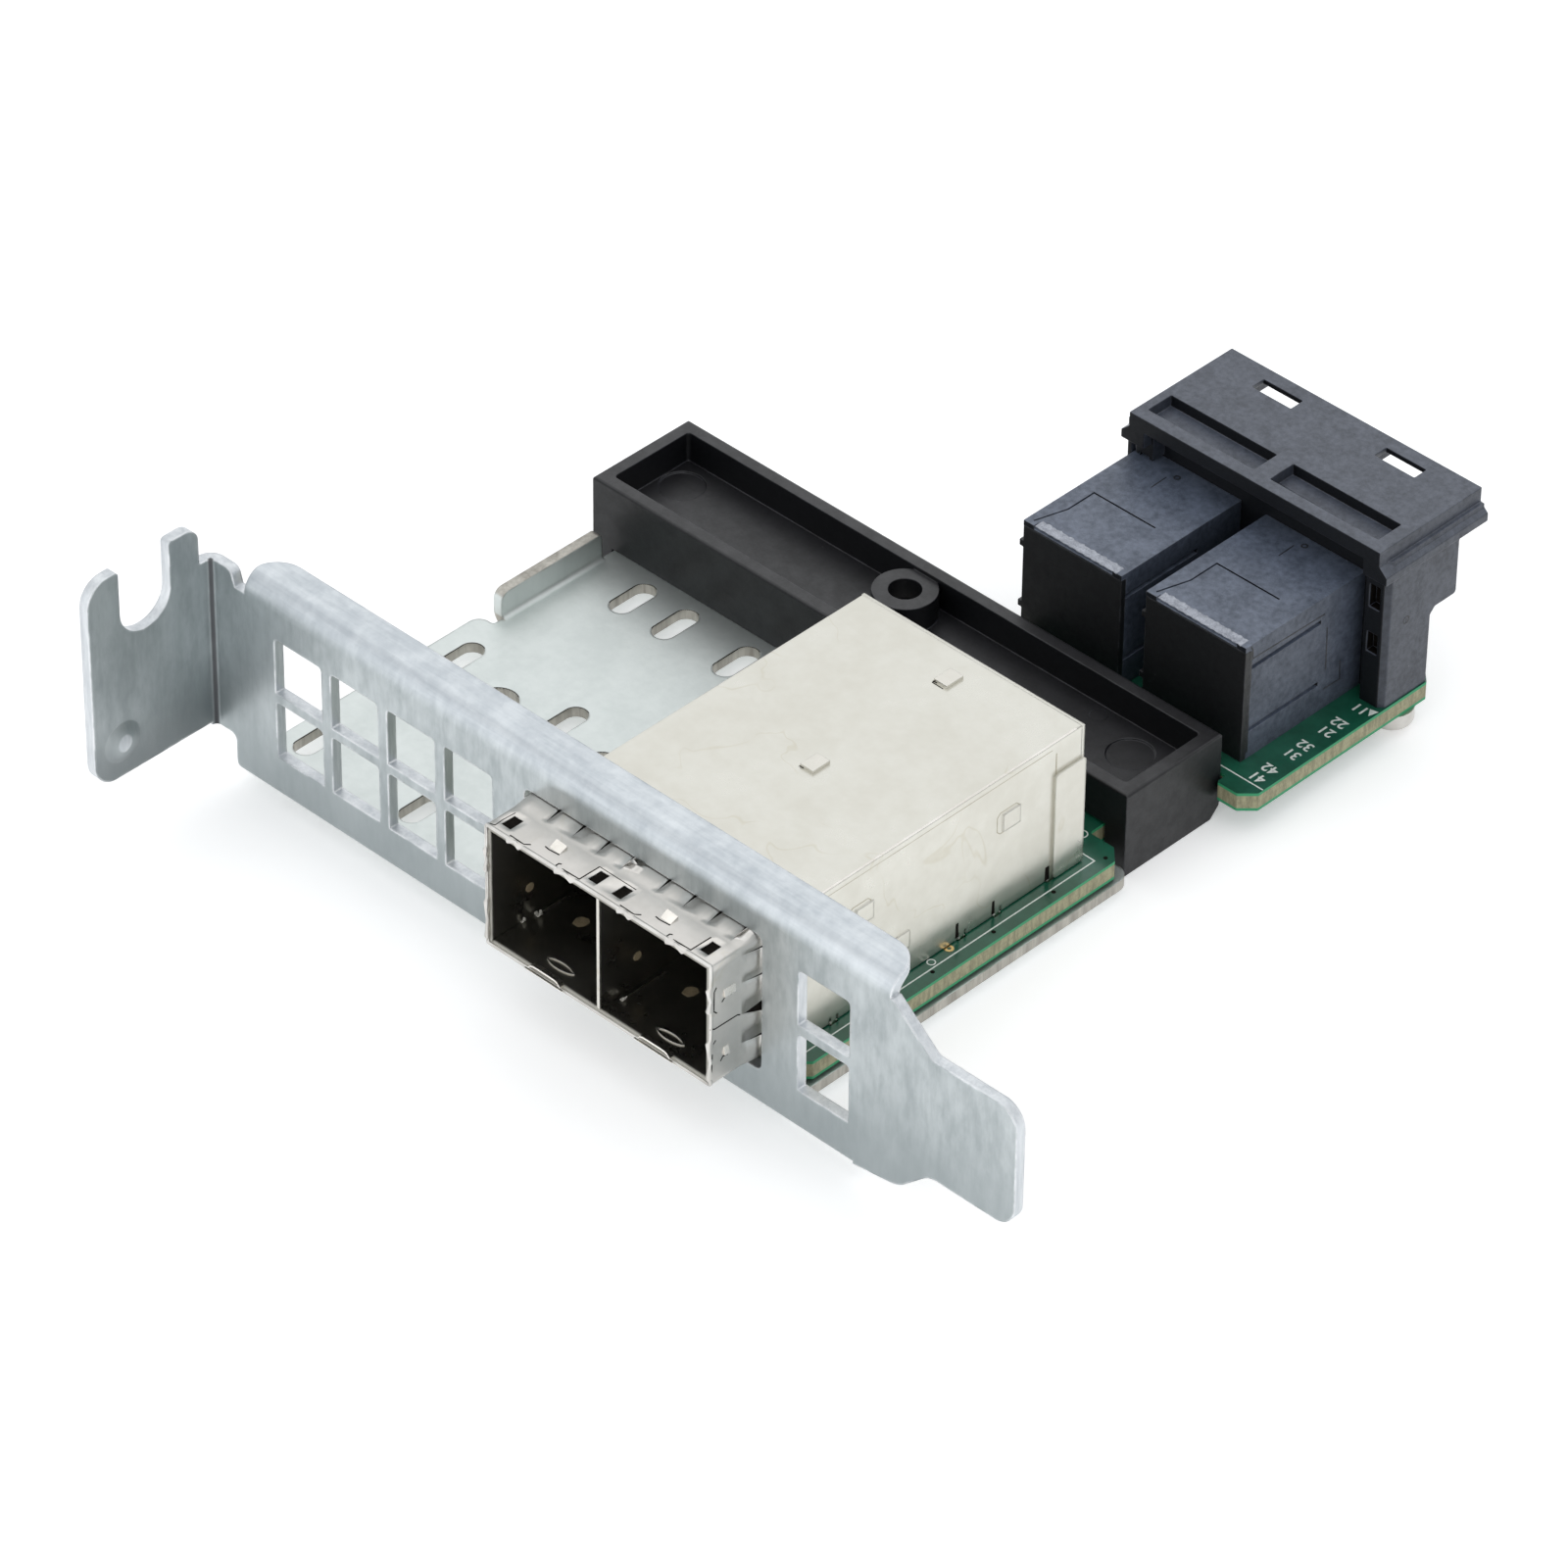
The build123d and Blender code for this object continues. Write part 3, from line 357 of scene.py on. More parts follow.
def relief(tree, surface, grain, waves, share, depth, rounding):
    """Gives the shader fine relief and softly rounded edges; sizes are in metres."""
    height = use_group(tree, GRAIN, Grain=grain, Waves=waves, Wave_Share=share)["Height"]
    soft = node(tree, "ShaderNodeBevel", {"Radius": rounding}, samples=BEVEL_SAMPLES).outputs[0]
    inputs = {"Height": height, "Strength": 1.0, "Distance": depth, "Normal": soft}
    tree.links.new(node(tree, "ShaderNodeBump", inputs).outputs[0], surface["Normal"])


def zinc_crease_shade(tree, parts):
    """A mask of the sharp fold between the screw tab and the neck, where shade is painted."""
    masks = []
    for axis in range(2):
        fold = ORIGIN[axis] + FOLD_PLACE[axis] * MM
        away = calc(tree, "ABSOLUTE", calc(tree, "SUBTRACT", parts[axis], fold))
        masks.append(remap(tree, away, FOLD_REACH[0] * MM, FOLD_REACH[1] * MM))
    return product(tree, *masks)


def zinc_zones(tree):
    """Masks of the tray (painted paler), the roll, cut edges, the face's edges (for a painted highlight),
    the fold (for painted shade), the tab, and the painted shade towards the foot.
    """
    parts = apart(tree, card_place(tree))
    across, through, rise = [calc(tree, "ABSOLUTE", part) for part in facing_way(tree)]
    behind = zone(tree, parts, 1, TRAY_DEPTHS)
    ends = product(tree, zone(tree, parts, 0, ROLL_LEFT), zone(tree, parts, 0, ROLL_RIGHT))
    high = product(tree, zone(tree, parts, 2, ROLL_HEIGHTS), ends)
    tray = product(tree, behind, opposite(tree, high))
    in_sheet = product(tree, tray, zone(tree, parts, 2, SHEET_HEIGHTS))
    cut = product(tree, in_sheet, remap(tree, rise, 0.5, 0.3))
    above_tray = zone(tree, parts, 2, SIDE_WALL_HEIGHTS)
    wall = product(tree, above_tray, zone(tree, parts, 1, SIDE_WALL_DEPTHS))
    cut = calc(tree, "MAXIMUM", cut, product(tree, wall, remap(tree, rise, 0.4, 0.7)))
    on_tab = zone(tree, parts, 0, TAB_REACH)
    # The sheet's thin sides on the face and tab: a mask for a painted highlight
    edge = remap(tree, remap(tree, on_tab, 0.0, 1.0, through, across), 0.5, 0.3)
    front = opposite(tree, calc(tree, "MAXIMUM", high, behind))
    crease_shade = zinc_crease_shade(tree, parts)
    edge = product(tree, edge, front, opposite(tree, crease_shade))
    foot = zone(tree, parts, 2, FOOT_SHADE_HEIGHTS, FOOT_SHADE_SHARE, 1.0)
    return tray, high, cut, edge, crease_shade, on_tab, foot


def zinc_plate(name, face, roll, tray, cut_edge, edge_highlight):
    """Zinc-plated sheet: clouds, rolling streaks, edges with wear and a painted highlight, a tray painted
    paler, raw cut edges, and painted shade in the fold and towards the foot.
    """
    material, tree, surface = shader(name, Metallic=1.0)
    on_tray, on_roll, on_cut, on_edge_highlight, crease_shade, on_tab, foot = zinc_zones(tree)
    cloud = clouds(tree, 0.005, 0.18, (1.4, 1.4, 0.6))
    upright = clouds(tree, 0.003, 0.26, (2.6, 2.6, 0.3))
    along = clouds(tree, 0.003, 0.2, (0.12, 2.6, 2.6))
    streak = remap(tree, on_roll, 0.0, 1.0, upright, along)
    share = remap(tree, on_roll, 0.0, 1.0, 0.35, 0.45)
    # The clouds fade towards the foot, painting shade there
    mask = product(tree, remap(tree, share, 0.0, 1.0, cloud, streak, smooth=False), foot)
    wear_and_highlight = worn_and_highlit_edges(tree, 0.0003, 0.95)
    nicks = use_group(tree, SPECKS, Spacing=0.006, Size=0.05)["Mask"]
    tone = blend(tree, on_roll, blend(tree, mask, *face), blend(tree, mask, *roll))
    # The tray's paler, greener tone: its paleness is painted light from above
    tone = blend(tree, on_tray, tone, blend(tree, cloud, *tray))
    # Painted shade towards the foot of the tab
    tab_foot_shade = product(tree, on_tab, remap(tree, foot, FOOT_SHADE_SHARE, 1.0, 0.85, 0.2))
    tone = blend(tree, tab_foot_shade, tone, TAB_FOOT_SHADE_TONE)
    # Painted highlight on the sheet's thin sides across the face and the tab
    tone = blend(tree, product(tree, on_edge_highlight, 0.85), tone, blend(tree, upright, *edge_highlight))
    tone = blend(tree, wear_and_highlight, tone, blend(tree, on_tray, WORN_HIGHLIGHT_TONE, WORN_TRAY_TONE))
    tone = blend(tree, on_cut, tone, blend(tree, upright, *cut_edge))
    # Painted shade darkens the fold's crease
    tone = blend(tree, product(tree, crease_shade, 0.9), tone, CREASE_SHADE_TONE)
    tone = blend(tree, product(tree, nicks, 0.7), tone, NICK_TONE)
    gloss = remap(tree, mask, 0.0, 1.0, 0.46, 0.36)
    gloss = calc(tree, "SUBTRACT", gloss, product(tree, wear_and_highlight, 0.12))
    feed(tree, surface, Base_Color=tone, Roughness=gloss)
    relief(tree, surface, grain=0.00025, waves=0.003, share=1.2, depth=0.000006, rounding=0.00022)
    return material


def nickel_plate(name, dark, light, rough, rounding, inside_front):
    """Nickel-plated thin sheet: warm, smooth, faintly stained and waved, with painted shade inside the
    ports.
    """
    material, tree, surface = shader(name, Metallic=1.0)
    stain = clouds(tree, 0.006, 0.18)
    wear_and_highlight = worn_and_highlit_edges(tree, 0.0001, 0.7)
    tide = use_group(tree, TIDE, Size=0.0055, Width=0.014)["Mask"]
    tone = blend(tree, stain, dark, light)
    tone = blend(tree, product(tree, tide, 0.2), tone, TIDE_TONE)
    tone = blend(tree, wear_and_highlight, tone, WORN_NICKEL_HIGHLIGHT_TONE)
    if inside_front is not None:
        # Painted shade on the walls inside the ports
        inside = use_group(tree, INSIDE_SHADE, Front=place(0, inside_front, 0).y)["Mask"]
        tone = blend(tree, inside, tone, INSIDE_SHADE_TONE)
    gloss = remap(tree, stain, 0.0, 1.0, rough + 0.05, rough - 0.03)
    feed(tree, surface, Base_Color=tone, Roughness=gloss)
    relief(tree, surface, grain=0.0003, waves=0.007, share=1.5, depth=0.000003, rounding=rounding)
    return material


def moulded(name, dark, light, rough, size, sheen, front_shade, right_shade):
    """Moulded black plastic: flow clouds, fine grain, worn edges with a painted highlight, and painted
    shade on the fronts and right sides, whose skin loses its sheen.
    """
    material, tree, surface = shader(name, Metallic=0.0, IOR=1.3, Coat_IOR=sheen, Coat_Roughness=rough)
    flow = clouds(tree, size, 0.2)
    close = clouds(tree, size * 0.22, 0.22)
    both = calc(tree, "ADD", product(tree, flow, 0.45), product(tree, close, 0.55))
    side_shade_masks = use_group(tree, FACE_SHADE)
    front = product(tree, side_shade_masks["Front"], front_shade)
    side_shade = calc(tree, "ADD", front, product(tree, side_shade_masks["Right"], right_shade))
    wear_and_highlight = worn_and_highlit_edges(tree, 0.00014, 0.7)
    dust = use_group(tree, SPECKS, Spacing=0.0018, Size=0.05)["Mask"]
    tone = blend(tree, both, dark, light)
    # Painted shade on the fronts and right sides
    tone = blend(tree, side_shade, tone, SIDE_SHADE_TONE)
    tone = blend(tree, product(tree, wear_and_highlight, 0.55), tone, WORN_PLASTIC_HIGHLIGHT_TONE)
    tone = blend(tree, product(tree, dust, 0.35), tone, DUST_TONE)
    gloss = remap(tree, both, 0.0, 1.0, rough + 0.1, rough - 0.06)
    skin = product(tree, remap(tree, both, 0.0, 1.0, 0.72, 1.0), opposite(tree, side_shade))
    feed(tree, surface, Base_Color=tone, Roughness=gloss, Coat_Weight=skin)
    relief(tree, surface, grain=0.00015, waves=0.003, share=0.8, depth=0.000006, rounding=0.0001)
    return material


def board_stock(top, bottom):
    """Circuit board: green mask on both faces, tan fibre edge between green lines."""
    material, tree, surface = shader("board_stock", Metallic=0.0, IOR=1.5, Coat_Roughness=0.15)
    height = apart(tree, card_place(tree))["Z"]
    flat = remap(tree, calc(tree, "ABSOLUTE", facing_way(tree)["Z"]), 0.5, 0.8)
    cloud = clouds(tree, 0.003, 0.2)
    green = blend(tree, cloud, (0.005, 0.068, 0.038), (0.011, 0.108, 0.064))
    weave = clouds(tree, 0.00035, 0.15, (1, 1, 0.25))
    core = blend(tree, weave, (0.18, 0.17, 0.10), (0.34, 0.325, 0.20))
    from_top = calc(tree, "SUBTRACT", top, height)
    from_low = calc(tree, "SUBTRACT", height, bottom)
    line = remap(tree, calc(tree, "MINIMUM", from_top, from_low), 0.00030, 0.00020)
    side = blend(tree, line, core, (0.02, 0.26, 0.11))
    layers = calc(tree, "PINGPONG", from_low, 0.0002)
    copper = remap(tree, layers, 0.00003, 0.00001, 0.0, 0.35)
    side = blend(tree, product(tree, copper, opposite(tree, line)), side, (0.20, 0.14, 0.08))
    gloss = remap(tree, flat, 0.0, 1.0, 0.6, 0.3)
    skin = product(tree, flat, 0.6)
    feed(tree, surface, Base_Color=blend(tree, flat, side, green), Roughness=gloss, Coat_Weight=skin)
    relief(tree, surface, grain=0.0003, waves=0.002, share=0.5, depth=0.000004, rounding=0.00005)
    return material


def small_finish(name, tones, rough, size, contrast, metallic, ior, stretch=(1, 1, 1)):
    """A finish for small parts: clouds between two tones, and a roughness that follows them."""
    material, tree, surface = shader(name, Metallic=metallic, IOR=ior)
    cloud = clouds(tree, size, contrast, stretch)
    gloss = remap(tree, cloud, 0.0, 1.0, *rough)
    feed(tree, surface, Base_Color=blend(tree, cloud, *tones), Roughness=gloss)
    return material


def studio_floor():
    """Plain pale floor."""
    material, tree, surface = shader("studio_floor", Metallic=0.0, Roughness=0.9, Emission_Strength=0.3)
    cloud = clouds(tree, 0.4, 0.3)
    feed(tree, surface, Base_Color=blend(tree, cloud, (0.90, 0.90, 0.90), (0.93, 0.93, 0.93)))
    return material


board_low, board_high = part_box("circuit_board")
BRACKET_ZINC = zinc_plate(
    "bracket_zinc",
    face=((0.33, 0.367, 0.376), (0.585, 0.625, 0.635)),
    roll=((0.46, 0.50, 0.535), (0.72, 0.755, 0.78)),
    # The tray's tones, paler partly as painted light from above
    tray=((0.63, 0.672, 0.658), (0.70, 0.74, 0.725)),
    cut_edge=((0.27, 0.255, 0.225), (0.58, 0.56, 0.51)),
    # Tones of the painted highlight on the sheet's thin sides
    edge_highlight=((0.50, 0.53, 0.56), (0.80, 0.82, 0.84)),
)
# Plated finishes: dark tone, light tone, roughness, rounding in metres, and the y where the painted shade
# inside starts
NICKEL_FINISHES = (
    ("cage_nickel", (0.66, 0.645, 0.58), (0.72, 0.71, 0.65), 0.3, 0.00025, -4.45),
    ("divider_nickel", (0.66, 0.64, 0.58), (0.74, 0.72, 0.66), 0.3, 0.0001, -4.1),
    ("collar_nickel", (0.62, 0.60, 0.565), (0.71, 0.685, 0.65), 0.33, 0.00008, -4.2),
    ("louvre_nickel", (0.72, 0.69, 0.63), (0.86, 0.83, 0.78), 0.24, 0.00005, None),
    ("screw_nickel", (0.55, 0.53, 0.50), (0.75, 0.73, 0.70), 0.3, 0.0001, None),
)
# Moulded finishes: dark, light, roughness, cloud size, the skin's index, painted shade on fronts and right
# sides
MOULDED_FINISHES = (
    ("block_black", (0.030, 0.041, 0.063), (0.128, 0.156, 0.218), 0.5, 0.0022, 1.56, 0.95, 0.42),
    ("shroud_black", (0.027, 0.033, 0.046), (0.074, 0.088, 0.124), 0.5, 0.0020, 1.6, 0.95, 0.4),
    ("front_black", (0.002, 0.002, 0.003), (0.004, 0.005, 0.006), 0.5, 0.003, 1.35, 0.0, 0.0),
    ("bar_black", (0.004, 0.004, 0.005), (0.010, 0.010, 0.013), 0.42, 0.005, 1.46, 0.75, 0.6),
    ("receptacle_black", (0.004, 0.004, 0.004), (0.009, 0.009, 0.008), 0.4, 0.003, 1.4, 0.0, 0.0),
    # A pale painted highlight for the blocks' chamfers
    ("bevel_highlight", (0.08, 0.09, 0.12), (0.50, 0.53, 0.60), 0.5, 0.0005, 1.6, 0.0, 0.0),
)
CAGE_NICKEL, DIVIDER_NICKEL, COLLAR_NICKEL, LOUVRE_NICKEL, SCREW_NICKEL = [
    nickel_plate(*finish) for finish in NICKEL_FINISHES
]
BLOCK_BLACK, SHROUD_BLACK, FRONT_BLACK, BAR_BLACK, RECEPTACLE_BLACK, BEVEL_HIGHLIGHT = [
    moulded(*finish) for finish in MOULDED_FINISHES
]
BOARD = board_stock(board_high.z, board_low.z)

# Small finishes: tones, the roughness of each, cloud size, contrast, metallic, index and stretch
SMALL_FINISHES = (
    # Nearly black: the collar's cut lines and the board's vias, and painted shade in rims, windows, slits,
    # notches and the ears' windows
    ("seam_and_shade_dark", ((0.003, 0.0025, 0.002), (0.012, 0.010, 0.008)), (0.8, 0.6), 0.001, 0.25, 0.0, 1.12),
    ("tip_glint", ((0.45, 0.43, 0.38), (0.95, 0.93, 0.86)), (0.4, 0.2), 0.0003, 0.25, 0.1, 2.0),
    ("gold_flash", ((0.75, 0.5, 0.2), (0.95, 0.72, 0.35)), (0.32, 0.22), 0.0008, 0.25, 1.0, 1.5),
    ("brass_glint", ((0.16, 0.12, 0.07), (0.36, 0.29, 0.18)), (0.6, 0.5), 0.0005, 0.3, 0.0, 1.6),
    ("clear_film", ((0.30, 0.25, 0.16), (0.42, 0.36, 0.24)), (0.35, 0.25), 0.004, 0.25, 0.0, 1.5),
    ("board_print", ((0.55, 0.62, 0.56), (0.84, 0.86, 0.84)), (0.6, 0.5), 0.0004, 0.2, 0.0, 1.4),
    ("fold_shade", ((0.30, 0.26, 0.17), (0.62, 0.60, 0.52)), (0.45, 0.35), 0.0012, 0.3, 1.0, 1.5,
     (1, 0.3, 1)),
)
SEAM_AND_SHADE_DARK, TIP_GLINT, GOLD, BRASS_GLINT, FILM, PRINT_WHITE, FOLD_SHADE = [
    small_finish(*finish) for finish in SMALL_FINISHES
]

# Finish of each solid, and the width in millimetres of the rounding on its edges
NODE_FINISHES = (
    ("bracket_tray", BRACKET_ZINC, 0),
    ("insulating_film", FILM, 0),
    ("circuit_board", BOARD, 0),
    ("cage_shell", CAGE_NICKEL, 0),
    ("cage_floor", CAGE_NICKEL, 0),
    ("cage_divider", DIVIDER_NICKEL, 0),
    ("cage_rear_cover", CAGE_NICKEL, 0),
    ("emi_collar", COLLAR_NICKEL, 0),
    ("stiffening_bar", BAR_BLACK, 0.12),
    ("bar_screw", SCREW_NICKEL, 0),
    ("shroud_housing", SHROUD_BLACK, 0.07),
    ("shroud_screws", SCREW_NICKEL, 0),
)
PAIR_FINISHES = (
    ("external_receptacle", RECEPTACLE_BLACK, 0.1),
    ("external_contacts", GOLD, 0),
    ("terminal_block", BLOCK_BLACK, 0.05),
    ("block_front", FRONT_BLACK, 0.04),
    ("internal_contacts", GOLD, 0),
)


def dress_node(name, material, rounding):
    """Gives a solid its material and rounds its edges without touching its mesh."""
    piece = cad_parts[name]
    piece.data.materials.clear()
    piece.data.materials.append(material)
    if not rounding:
        return
    weld = piece.modifiers.new("weld", "WELD")
    weld.merge_threshold = 0.002 * MM
    merge = piece.modifiers.new("merge flats", "DECIMATE")
    merge.decimate_type = "DISSOLVE"
    merge.angle_limit = math.radians(0.4)
    bevel = piece.modifiers.new("rounding", "BEVEL")
    bevel.width = rounding * MM
    bevel.segments = 2
    bevel.limit_method = "ANGLE"
    bevel.angle_limit = math.radians(35)
    bevel.miter_outer = "MITER_ARC"
    normals = piece.modifiers.new("even shading", "WEIGHTED_NORMAL")
    normals.weight = 90


for node_name, finish, rounding in NODE_FINISHES:
    dress_node(node_name, finish, rounding)
for pair_name, finish, rounding in PAIR_FINISHES:
    for side in ("left", "right"):
        dress_node(pair_name + "_" + side, finish, rounding)


# Mesh helpers: points are in millimetres, as place() takes them


def loft(mesh, rows, ring=False):
    """Skins rows of points into a closed body; a ring joins its last row to its first."""
    made = [[mesh.verts.new(place(*point)) for point in row] for row in rows]
    pairs = list(zip(made, made[1:]))
    if ring:
        pairs.append((made[-1], made[0]))
    count = len(made[0])
    for near, far in pairs:
        for i in range(count):
            j = (i + 1) % count
            mesh.faces.new((near[i], near[j], far[j], far[i]))
    if not ring:
        mesh.faces.new(made[0][::-1])
        mesh.faces.new(made[-1])


def add_plate(mesh, corners, lift, sink=0.03):
    """A flat plate on a face: its corners, and how far and which way it stands proud."""
    lift = Vector(lift)
    down = lift.normalized() * sink
    low = [Vector(corner) - down for corner in corners]
    high = [Vector(corner) + lift for corner in corners]
    loft(mesh, [low, high])


def add_ribbon(mesh, path, width, normal, proud=0.012, ring=False):
    """A thin strip along a path on a flat face."""
    normal = Vector(normal)
    points = [Vector(point) for point in path]
    last = len(points) - 1
    rows = []
    for i, point in enumerate(points):
        before = points[i - 1] if i or ring else point * 2 - points[1]
        after = points[(i + 1) % len(points)] if i < last or ring else point * 2 - points[i - 1]
        first = (point - before).normalized()
        second = (after - point).normalized()
        side = normal.cross((first + second).normalized())
        reach = side * (width / 2 / max(0.4, side.dot(normal.cross(first))))
        high = normal * proud
        low = normal * -0.03
        rows.append([point + reach + high, point - reach + high, point - reach + low, point + reach + low])
    loft(mesh, rows, ring)


def circle(centre, radius, first, second, count=20):
    """Points round a circle in the plane of two directions."""
    centre, first, second = Vector(centre), Vector(first), Vector(second)
    turns = [2 * math.pi * i / count for i in range(count)]
    return [centre + first * radius * math.cos(t) + second * radius * math.sin(t) for t in turns]


def level_path(path, z):
    """Points given as (x, y), at one height."""
    return [(x, y, z) for x, y in path]


def upright_path(path, x):
    """Points given as (y, z), on a wall that looks along X."""
    return [(x, y, z) for y, z in path]


def add_object(name, data):
    """Puts a mesh, text, light or camera into the scene."""
    made = bpy.data.objects.new(name, data)
    bpy.context.scene.collection.objects.link(made)
    return made


def add_piece(name, mesh, material, smooth=False):
    """Turns built geometry into a piece that rides with the card."""
    bmesh.ops.recalc_face_normals(mesh, faces=mesh.faces)
    data = bpy.data.meshes.new(name)
    mesh.to_mesh(data)
    mesh.free()
    data.materials.append(material)
    if smooth:
        data.shade_smooth()
    piece = add_object(name, data)
    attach(piece, "root")
    return piece


X_WAY, Y_WAY, Z_WAY = Vector((1, 0, 0)), Vector((0, 1, 0)), Vector((0, 0, 1))


# Tray

SHEET = 0.86
SLOT_LENGTH, SLOT_WIDTH = 4.2, 1.9
SLOT_PLACES = ((9.2, 33.9), (13.6, 33.9), (19.9, 33.9), (5.3, 20.0), (16.1, 20.0), (4.9, 6.0), (15.9, 6.0))
HOLE_PLACES = ((10.9, 18.3), (21.6, 18.3))
HOLE_RADIUS = 1.6
RIM_SHADE_WIDTH, RIM_SHADE_HEIGHT = 0.06, 0.008
RIM_SHADE_POINTS = 17
# Turn in degrees from the right where each rim's painted shade starts and ends
RIM_SHADE_START, RIM_SHADE_END = 62, 205


def rim_points(x, y, radius, reach):
    """Points along the left and rear rim of a round-ended opening; reach is half its straight part."""
    points = []
    for i in range(RIM_SHADE_POINTS):
        turn = math.radians(RIM_SHADE_START + (RIM_SHADE_END - RIM_SHADE_START) * i / (RIM_SHADE_POINTS - 1))
        across = (radius + RIM_SHADE_WIDTH / 2) * math.cos(turn)
        along = (radius + RIM_SHADE_WIDTH / 2) * math.sin(turn)
        points.append((x + across, y + along + math.copysign(reach, along), SHEET))
    return points


def build_tray_rim_shades(mesh):
    """Painted shade along the left and rear rims of the tray's slots and round holes, as thin dark strips.
    """
    radius = SLOT_WIDTH / 2
    rims = [rim_points(x, y, radius, SLOT_LENGTH / 2 - radius) for x, y in SLOT_PLACES]
    rims += [rim_points(x, y, HOLE_RADIUS, 0.0) for x, y in HOLE_PLACES]
    for rim in rims:
        add_ribbon(mesh, rim, RIM_SHADE_WIDTH, Z_WAY, RIM_SHADE_HEIGHT)


# Collar round the cage's nose

COLLAR_LEFT, COLLAR_RIGHT = 33.15, 54.95
COLLAR_LOW, COLLAR_TOP = 4.5, 15.15
COLLAR_SHEET = 0.16
CORNER_INSET = 0.12
PORT_LEFTS = (33.35, 44.05)
FINGER_START = 2.65
FINGER_PITCH = 2.43
SLITS_PER_PORT = 4
SIDE_SLITS = ((14.36, 0.07), (11.97, 0.07), (9.15, 0.36), (6.6, 0.08))
SLIT_WIDTH = 0.12
SLIT_TIP = -1.2
WINDOW_PLACES = (1.05, 9.5)
WINDOW_WIDTH = 0.92
WINDOW_FRONT, WINDOW_BACK = -3.6, -2.3
LIPS = ((1.95, 3.5), (6.6, 8.6))
SIDE_LIPS = ((10.9, 13.3), (4.9, 8.6))
# Rows of the sheet from the nose back: (y, outward) on the plain edge and on a hemmed lip
NOSE_ROWS = (
    ((-4.2, -0.12), (-4.25, -0.3)),
    ((-4.45, -0.1), (-4.6, -0.27)),
    ((-4.49, -0.05), (-4.69, -0.12)),
    ((-4.45, 0.0), (-4.62, 0.02)),
    ((-4.3, 0.0), (-4.3, 0.03)),
)
FLAT_ROWS = (-4.0, WINDOW_FRONT, WINDOW_BACK, -1.75)
BOW_ROWS = (
    (-1.5, 0.01),
    (SLIT_TIP, 0.05),
    (-0.9, 0.1),
    (-0.6, 0.15),
    (-0.3, 0.2),
    (0.0, 0.25),
    (0.35, 0.29),
)
CUT_WIDTH, FINE_CUT_WIDTH = 0.1, 0.06
# Cut lines on the collar's top: (x from a port's left edge, y), then two at (x, y)
TOP_CUTS = (
    ((1.92, -4.05), (3.3, -4.08), (3.68, -3.76)),
    ((4.5, -3.2), (4.92, -3.26), (5.85, -3.17)),
    ((6.5, -4.3), (6.5, -3.85), (6.68, -3.76)),
    ((7.05, -4.1), (8.68, -4.05), (8.72, -2.12)),
)
FINE_CUTS = (
    ((PORT_LEFTS[0] + 8.72, -2.12), (PORT_LEFTS[1] + 1.55, -2.12)),
    ((33.2, -4.2), (33.75, -4.0), (33.72, -3.2), (33.8, -2.08)),
)
# Cut lines on its right side: (y, z)
SIDE_CUTS = (
    ((-4.4, 9.6), (-3.95, 9.4), (-1.75, 9.35), (-1.45, 9.2)),
    ((-3.8, 13.0), (-4.03, 12.7), (-4.05, 11.0), (-3.75, 10.7)),
    ((-3.85, 8.35), (-4.15, 8.1), (-4.28, 5.0)),
    ((-3.28, 11.4), (-3.0, 11.65), (-2.35, 11.6)),
    ((-3.38, 6.2), (-3.15, 6.5), (-2.65, 6.4)),
)
# Hooks: corners, and how far each corner stands proud
TOP_HOOK = ((4.78, -3.06), (5.82, -3.1), (5.75, -2.28), (4.62, -2.2))
TOP_HOOK_RISES = (0.02, 0.02, 0.2, 0.2)
SIDE_HOOKS = ((-3.1, -2.0, 11.75, 12.4), (-3.1, -2.6, 6.6, 7.3))
SIDE_HOOK_RISES = (0.16, 0.16, 0.02, 0.02)


def plain_columns(places, in_lip=False, window=False):
    """Columns without a slit: (place, slit side, slit width, in a lip, opens a window)."""
    return [(place_on_side, 0, 0, in_lip, window) for place_on_side in places]


def slit_columns(place_on_side, width):
    """The two columns that part at a slit."""
    return [(place_on_side, side, width, False, False) for side in (-1, 1)]


def top_columns():
    """Columns across the collar's top, from left to right."""
    columns = plain_columns((COLLAR_LEFT + CORNER_INSET, COLLAR_RIGHT - CORNER_INSET))
    for port in PORT_LEFTS:
        for i in range(SLITS_PER_PORT):
            columns += slit_columns(port + FINGER_START + i * FINGER_PITCH, SLIT_WIDTH)
        for middle in WINDOW_PLACES:
            left = port + middle - WINDOW_WIDTH / 2
            columns += plain_columns((left,), window=True) + plain_columns((left + WINDOW_WIDTH,))
        for start, end in LIPS:
            columns += plain_columns((port + start, port + end))
            columns += plain_columns((port + start + 0.25, port + end - 0.25), in_lip=True)
    return sorted(columns, key=lambda column: column[:2])


def side_columns():
    """Columns up the collar's side, from the lowest."""
    columns = plain_columns((COLLAR_LOW + CORNER_INSET, COLLAR_TOP - CORNER_INSET))
    for slit, width in SIDE_SLITS:
        columns += slit_columns(slit, width)
    for start, end in SIDE_LIPS:
        columns += plain_columns((start, end))
        columns += plain_columns((start + 0.3, end - 0.3), in_lip=True)
    return sorted(columns, key=lambda column: column[:2])


